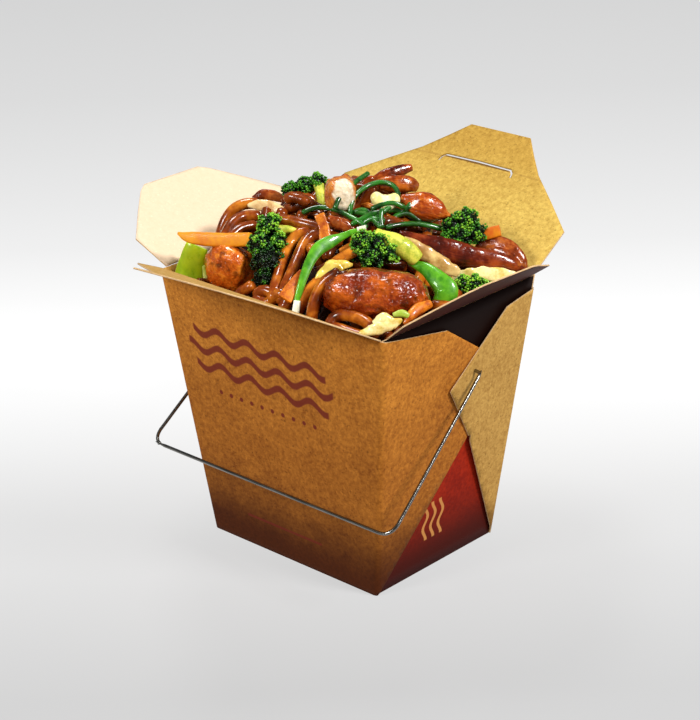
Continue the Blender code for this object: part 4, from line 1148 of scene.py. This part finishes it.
    green = skin_finish("capsicum_skin", tone(34, 108, 4), tone(98, 176, 22), 0.28, 0.45, 90)
    lime = skin_finish("capsicum_flesh", tone(150, 178, 50), tone(222, 226, 132), 0.3, 0.4, 140)
    fresh = skin_finish("capsicum_bright", tone(104, 158, 6), tone(178, 206, 24), 0.2, 0.5, 70)
    cut_piece("capsicum_left", "_wedge", "capsicum", (fresh, lime),
              ((-46.7, -34.5, 99.8, 11.4), (-47.0, -33.4, 103.3, 11.0), (-46.6, -32.5, 107.0, 9.8),
               (-46.1, -31.4, 110.7, 9.0), (-45.7, -30.6, 112.8, 8.4)), 2.6, VIEW_SIDE, square=0.6, cap=0.08, cup=0.10,
              rim=0.3, sides=20)
    cut_piece("capsicum_right", "_wedge", "capsicum", (green, lime),
              ((28.9, 1.1, 115.3, 1.6), (32.0, 2.4, 114.5, 3.3), (36.7, 2.3, 113.8, 5.0), (42.4, 1.6, 111.6, 7.0),
               (46.1, 1.5, 108.5, 8.8), (45.9, -0.9, 105.2, 6.4), (44.4, -3.9, 102.4, 2.2)), 2.6, VIEW_SIDE, square=0.6,
              cap=0.2, cup=0.07, rim=0.22, sides=20)
    cut_piece("capsicum_strip", "_ribbon", "capsicum", (green, lime),
              ((14.5, -6.9, 126.2, 1.6), (12.1, -9.5, 125.6, 2.0), (10.0, -12.9, 124.2, 2.8), (8.5, -17.0, 123.2, 4.6),
               (7.3, -21.4, 121.7, 4.8), (7.3, -25.3, 119.0, 3.8), (8.0, -29.2, 115.4, 3.2), (8.8, -32.5, 111.4, 2.7),
               (9.2, -34.5, 108.0, 2.4), (9.6, -36.0, 105.0, 2.3)), 1.7, VIEW_SIDE, square=0.6, cap=0.1, cup=0.05,
              rim=0.22, sides=20)
    ends = swept(bmesh.new(), ((13.3, -7.9, 126.3, 1.8), (15.6, -6.0, 126.8, 2.4)), 1.6, VIEW_SIDE, square=0.5, cap=0.1)
    swept(ends, ((9.6, -35.4, 106.8, 2.5), (10.6, -37.4, 103.2, 2.8)), 1.9, VIEW_SIDE, square=0.5, cap=0.1)
    bmesh.ops.recalc_face_normals(ends, faces=ends.faces)
    pith = skin_finish("capsicum_pith", tone(214, 214, 180), tone(252, 250, 234), 0.35, 0.2)
    piece("capsicum_strip_ends", ends, pith, slot="capsicum")

    cabbage = skin_finish("cabbage_leaf", tone(206, 176, 66), tone(250, 236, 168), 0.25, 0.6, 170)
    yellow = skin_finish("cabbage_yellow", tone(186, 136, 22), tone(244, 222, 104), 0.25, 0.6, 170)
    khaki = skin_finish("cabbage_stewed", tone(168, 118, 50), tone(222, 190, 118), 0.3, 0.5, 110)
    leaf = {"sides": 22, "square": 0.9, "cap": 0.4, "lumps": 0.7}
    shape = swept(bmesh.new(), ((42.0, -38.4, 103.6, 1.9), (44.7, -35.8, 104.9, 3.6), (47.4, -32.8, 106.2, 4.4),
                                (49.8, -29.9, 107.3, 3.8), (51.4, -27.9, 108.2, 1.6)), 2.4, VIEW_SIDE, ripple=0.10, **leaf)
    swept(shape, ((44.2, -33.6, 107.0, 2.6), (46.4, -31.6, 108.3, 4.4), (48.4, -29.4, 108.0, 3.0)), 3.4, VIEW_SIDE,
          **leaf)
    bmesh.ops.recalc_face_normals(shape, faces=shape.faces)
    piece("cabbage_corner_leaf", shape, cabbage, stands_for=("cabbage_corner",), slot="cabbage")
    cut_piece("cabbage_right", "_leaf", "cabbage", (cabbage,),
              ((36.6, 15.9, 106.2, 2.2), (39.6, 19.4, 107.4, 4.6), (43.3, 23.4, 107.6, 5.4), (47.8, 27.5, 107.2, 5.4),
               (50.8, 30.5, 107.0, 4.4), (52.6, 32.2, 107.2, 2.0)), 2.6, VIEW_SIDE, ripple=0.05, cup=-0.08, **leaf)
    cut_piece("cabbage_middle", "_leaf", "cabbage", (khaki,),
              ((24.5, 4.0, 121.7, 3.2), (28.3, 6.2, 119.3, 5.0), (32.7, 8.6, 116.3, 5.6), (37.5, 11.1, 112.9, 5.6),
               (41.4, 13.3, 110.6, 3.6)), 2.0, VIEW_SIDE, ripple=0.03, **leaf)
    shape = swept(bmesh.new(), ((11.1, -26.8, 112.6, 1.9), (12.8, -24.4, 115.0, 4.2), (15.1, -21.7, 116.9, 4.8),
                                (17.1, -18.7, 117.1, 3.0), (18.5, -16.6, 116.8, 1.0)), 2.2, VIEW_SIDE, ripple=0.12,
                  **leaf)
    swept(shape, ((13.6, -21.6, 118.2, 1.4), (15.2, -21.0, 117.6, 2.6), (17.6, -20.6, 116.0, 1.2)), 2.0, VIEW_SIDE,
          **leaf)
    bmesh.ops.recalc_face_normals(shape, faces=shape.faces)
    piece("cabbage_petal_leaf", shape, yellow, stands_for=("cabbage_petal",), slot="cabbage")

    mushroom = glazed("glazed_mushroom", tone(62, 16, 3), tone(132, 52, 14), tone(196, 108, 42), 150, 0.10, 0.25, 0.0,
                      0.0004, 0.2)
    rows = ((34.4, 33.0, 111.2, 4.9), (36.9, 35.1, 113.0, 7.4), (41.4, 36.3, 113.4, 8.8), (46.2, 37.3, 112.2, 7.8),
            (49.7, 38.1, 109.5, 5.6), (51.8, 38.5, 107.1, 2.2))
    shape = swept(bmesh.new(), rows, 3.2, VIEW_SIDE, sides=22, lumps=0.2)
    inner = [Vector((x + 1.4, y - 1.5, z - 0.2, 0.46 * w)) for x, y, z, w in rows[1:-1]]
    swept(shape, inner, 2.6, VIEW_SIDE, sides=16, lumps=0.2)
    bmesh.ops.recalc_face_normals(shape, faces=shape.faces)
    piece("mushroom_right_slice", shape, mushroom, stands_for=("mushroom_right",), slot="mushroom")
    cut_piece("mushroom_left", "_slice", "mushroom", (mushroom,),
              ((-47.6, 1.2, 122.3, 2.4), (-45.5, 3.9, 123.4, 4.2), (-42.6, 6.2, 123.2, 4.2), (-38.8, 8.2, 122.0, 2.8)),
              3.4, VIEW_SIDE, lumps=0.3, seed=1)
    cut_piece("mushroom_back", "_slice", "mushroom", (mushroom,),
              ((-36.5, 5.4, 123.6, 2.8), (-32.5, 7.6, 124.3, 4.6), (-28.6, 10.0, 123.9, 4.6), (-25.5, 12.0, 122.0, 2.6)),
              3.4, VIEW_SIDE, lumps=0.3, seed=2)
    cut_piece("mushroom_middle", "_slice", "mushroom", (mushroom,),
              ((-3.4, -4.8, 126.0, 2.4), (-1.0, -3.2, 124.6, 4.5), (1.6, -1.3, 123.2, 4.5), (3.8, 0.0, 121.5, 2.4)),
              3.0, VIEW_SIDE, lumps=0.3, seed=3)
    onion = skin_finish("onion_flesh", tone(186, 124, 56), tone(240, 212, 152), 0.14, 0.9, 110)
    cut_piece("onion_slice", "_petal", "onion", (onion,),
              ((-43.5, -5.7, 122.4, 1.7), (-40.9, -3.0, 122.3, 4.2), (-37.0, -0.7, 121.8, 4.5), (-32.7, 0.7, 120.8, 3.2),
               (-29.5, 2.1, 119.8, 1.2)), 1.8, VIEW_SIDE, lumps=0.2)
    cashew = skin_finish("cashew_cream", tone(246, 224, 128), tone(255, 252, 206), 0.35, 0.3, 160)
    cut_piece("cashew", "_kernel", "cashew", (cashew,),
              ((5.4, 10.8, 131.6, 4.4), (7.0, 11.4, 130.2, 5.6), (9.0, 13.0, 129.8, 5.8), (10.6, 14.8, 131.0, 4.6)), 4.6,
              VIEW_SIDE, lumps=0.3, cap=0.9)

    bits = bmesh.new()
    for row in EXTRA_CARROT:
        swept(bits, row, 1.6, VIEW_SIDE, sides=10, square=0.5, cap=0.2)
    bmesh.ops.recalc_face_normals(bits, faces=bits.faces)
    piece("carrot_crumbs", bits, dark_carrot, slot="carrot")
    bits = bmesh.new()
    for row in EXTRA_GREEN:
        swept(bits, row, 1.4, VIEW_SIDE, sides=10, cap=0.3, ripple=0.1)
    bmesh.ops.recalc_face_normals(bits, faces=bits.faces)
    piece("pale_green_shreds", bits, lime, slot="cabbage")
    bits = bmesh.new()
    for row in EXTRA_BROWN:
        swept(bits, row, 2.6, VIEW_SIDE, sides=12, lumps=0.3)
    bmesh.ops.recalc_face_normals(bits, faces=bits.faces)
    piece("browned_shreds", bits, finger, slot="meat")

    curl = skin_finish("spring_onion", tone(8, 46, 8), tone(44, 118, 30), 0.2, 0.7, 160)
    tube("spring_onion_curls", [smooth_path(p, 1.0) for p in ONION_CURLS], 0.95 * MM, 3, curl, slot="capsicum")


# ---------------------------------------------------------------- stage

def camera():
    """Camera a little above the box, looking down at its front right corner."""
    turn, rise, roll = math.radians(43.3418), math.radians(23.0872), math.radians(-1.37319)
    back = Vector((math.sin(turn) * math.cos(rise), -math.cos(turn) * math.cos(rise), math.sin(rise)))
    right = (-back).cross(Vector(UP)).normalized()
    up = right.cross(-back)
    tilt = Matrix.Rotation(roll, 3, back)
    right, up = tilt @ right, tilt @ up
    place = (back * 7.83594612 + right * -0.00956451778 + up * 0.615139223) * HEIGHT
    lens = bpy.data.cameras.new("camera")
    lens.lens = 107.99959
    lens.sensor_width = 36.0
    lens.clip_start = 0.01
    made = bpy.data.objects.new("camera", lens)
    made.matrix_world = Matrix.LocRotScale(place, Matrix((right, up, back)).transposed(), None)
    bpy.context.scene.collection.objects.link(made)
    bpy.context.scene.camera = made
    return back


def softbox(name, place, aim, size, power, colour=(1.0, 1.0, 1.0)):
    light = bpy.data.lights.new(name, "AREA")
    light.shape = "DISK"
    light.size = size
    light.energy = power
    light.color = colour
    made = bpy.data.objects.new(name, light)
    made.location = place
    made.rotation_euler = (Vector(aim) - Vector(place)).to_track_quat("-Z", "Y").to_euler()
    bpy.context.scene.collection.objects.link(made)


def stage(back):
    forward = Vector((-back.x, -back.y, 0)).normalized()
    shape = bmesh.new()
    bmesh.ops.create_grid(shape, x_segments=8, y_segments=8, size=6.0)
    bmesh.ops.translate(shape, verts=shape.verts, vec=(0, 0, -0.0002))
    mesh = bpy.data.meshes.new("floor")
    shape.to_mesh(mesh)
    shape.free()
    mesh.materials.append(floor_finish(tuple(forward)))
    floor = bpy.data.objects.new("floor", mesh)
    bpy.context.scene.collection.objects.link(floor)
    world = bpy.data.worlds.new("studio")
    world.use_nodes = True
    world.node_tree.nodes["Background"].inputs["Color"].default_value = (0.95, 0.97, 1.0, 1.0)
    world.node_tree.nodes["Background"].inputs["Strength"].default_value = 0.15
    bpy.context.scene.world = world
    softbox("key", (0.85, 0.12, 0.90), (0, 0, 0.09), 0.30, 15.0)
    softbox("fill", (-0.15, -0.95, 0.75), (0, 0, 0.07), 0.30, 7.6)
    softbox("top", (-0.35, 0.15, 1.0), (0, 0, 0.1), 0.24, 4.0)
    bpy.context.scene.view_settings.view_transform = "Standard"


def main():
    inside, outside, edge = carton()
    flaps(inside, outside, edge)
    bail()
    food()
    stage(camera())


main()
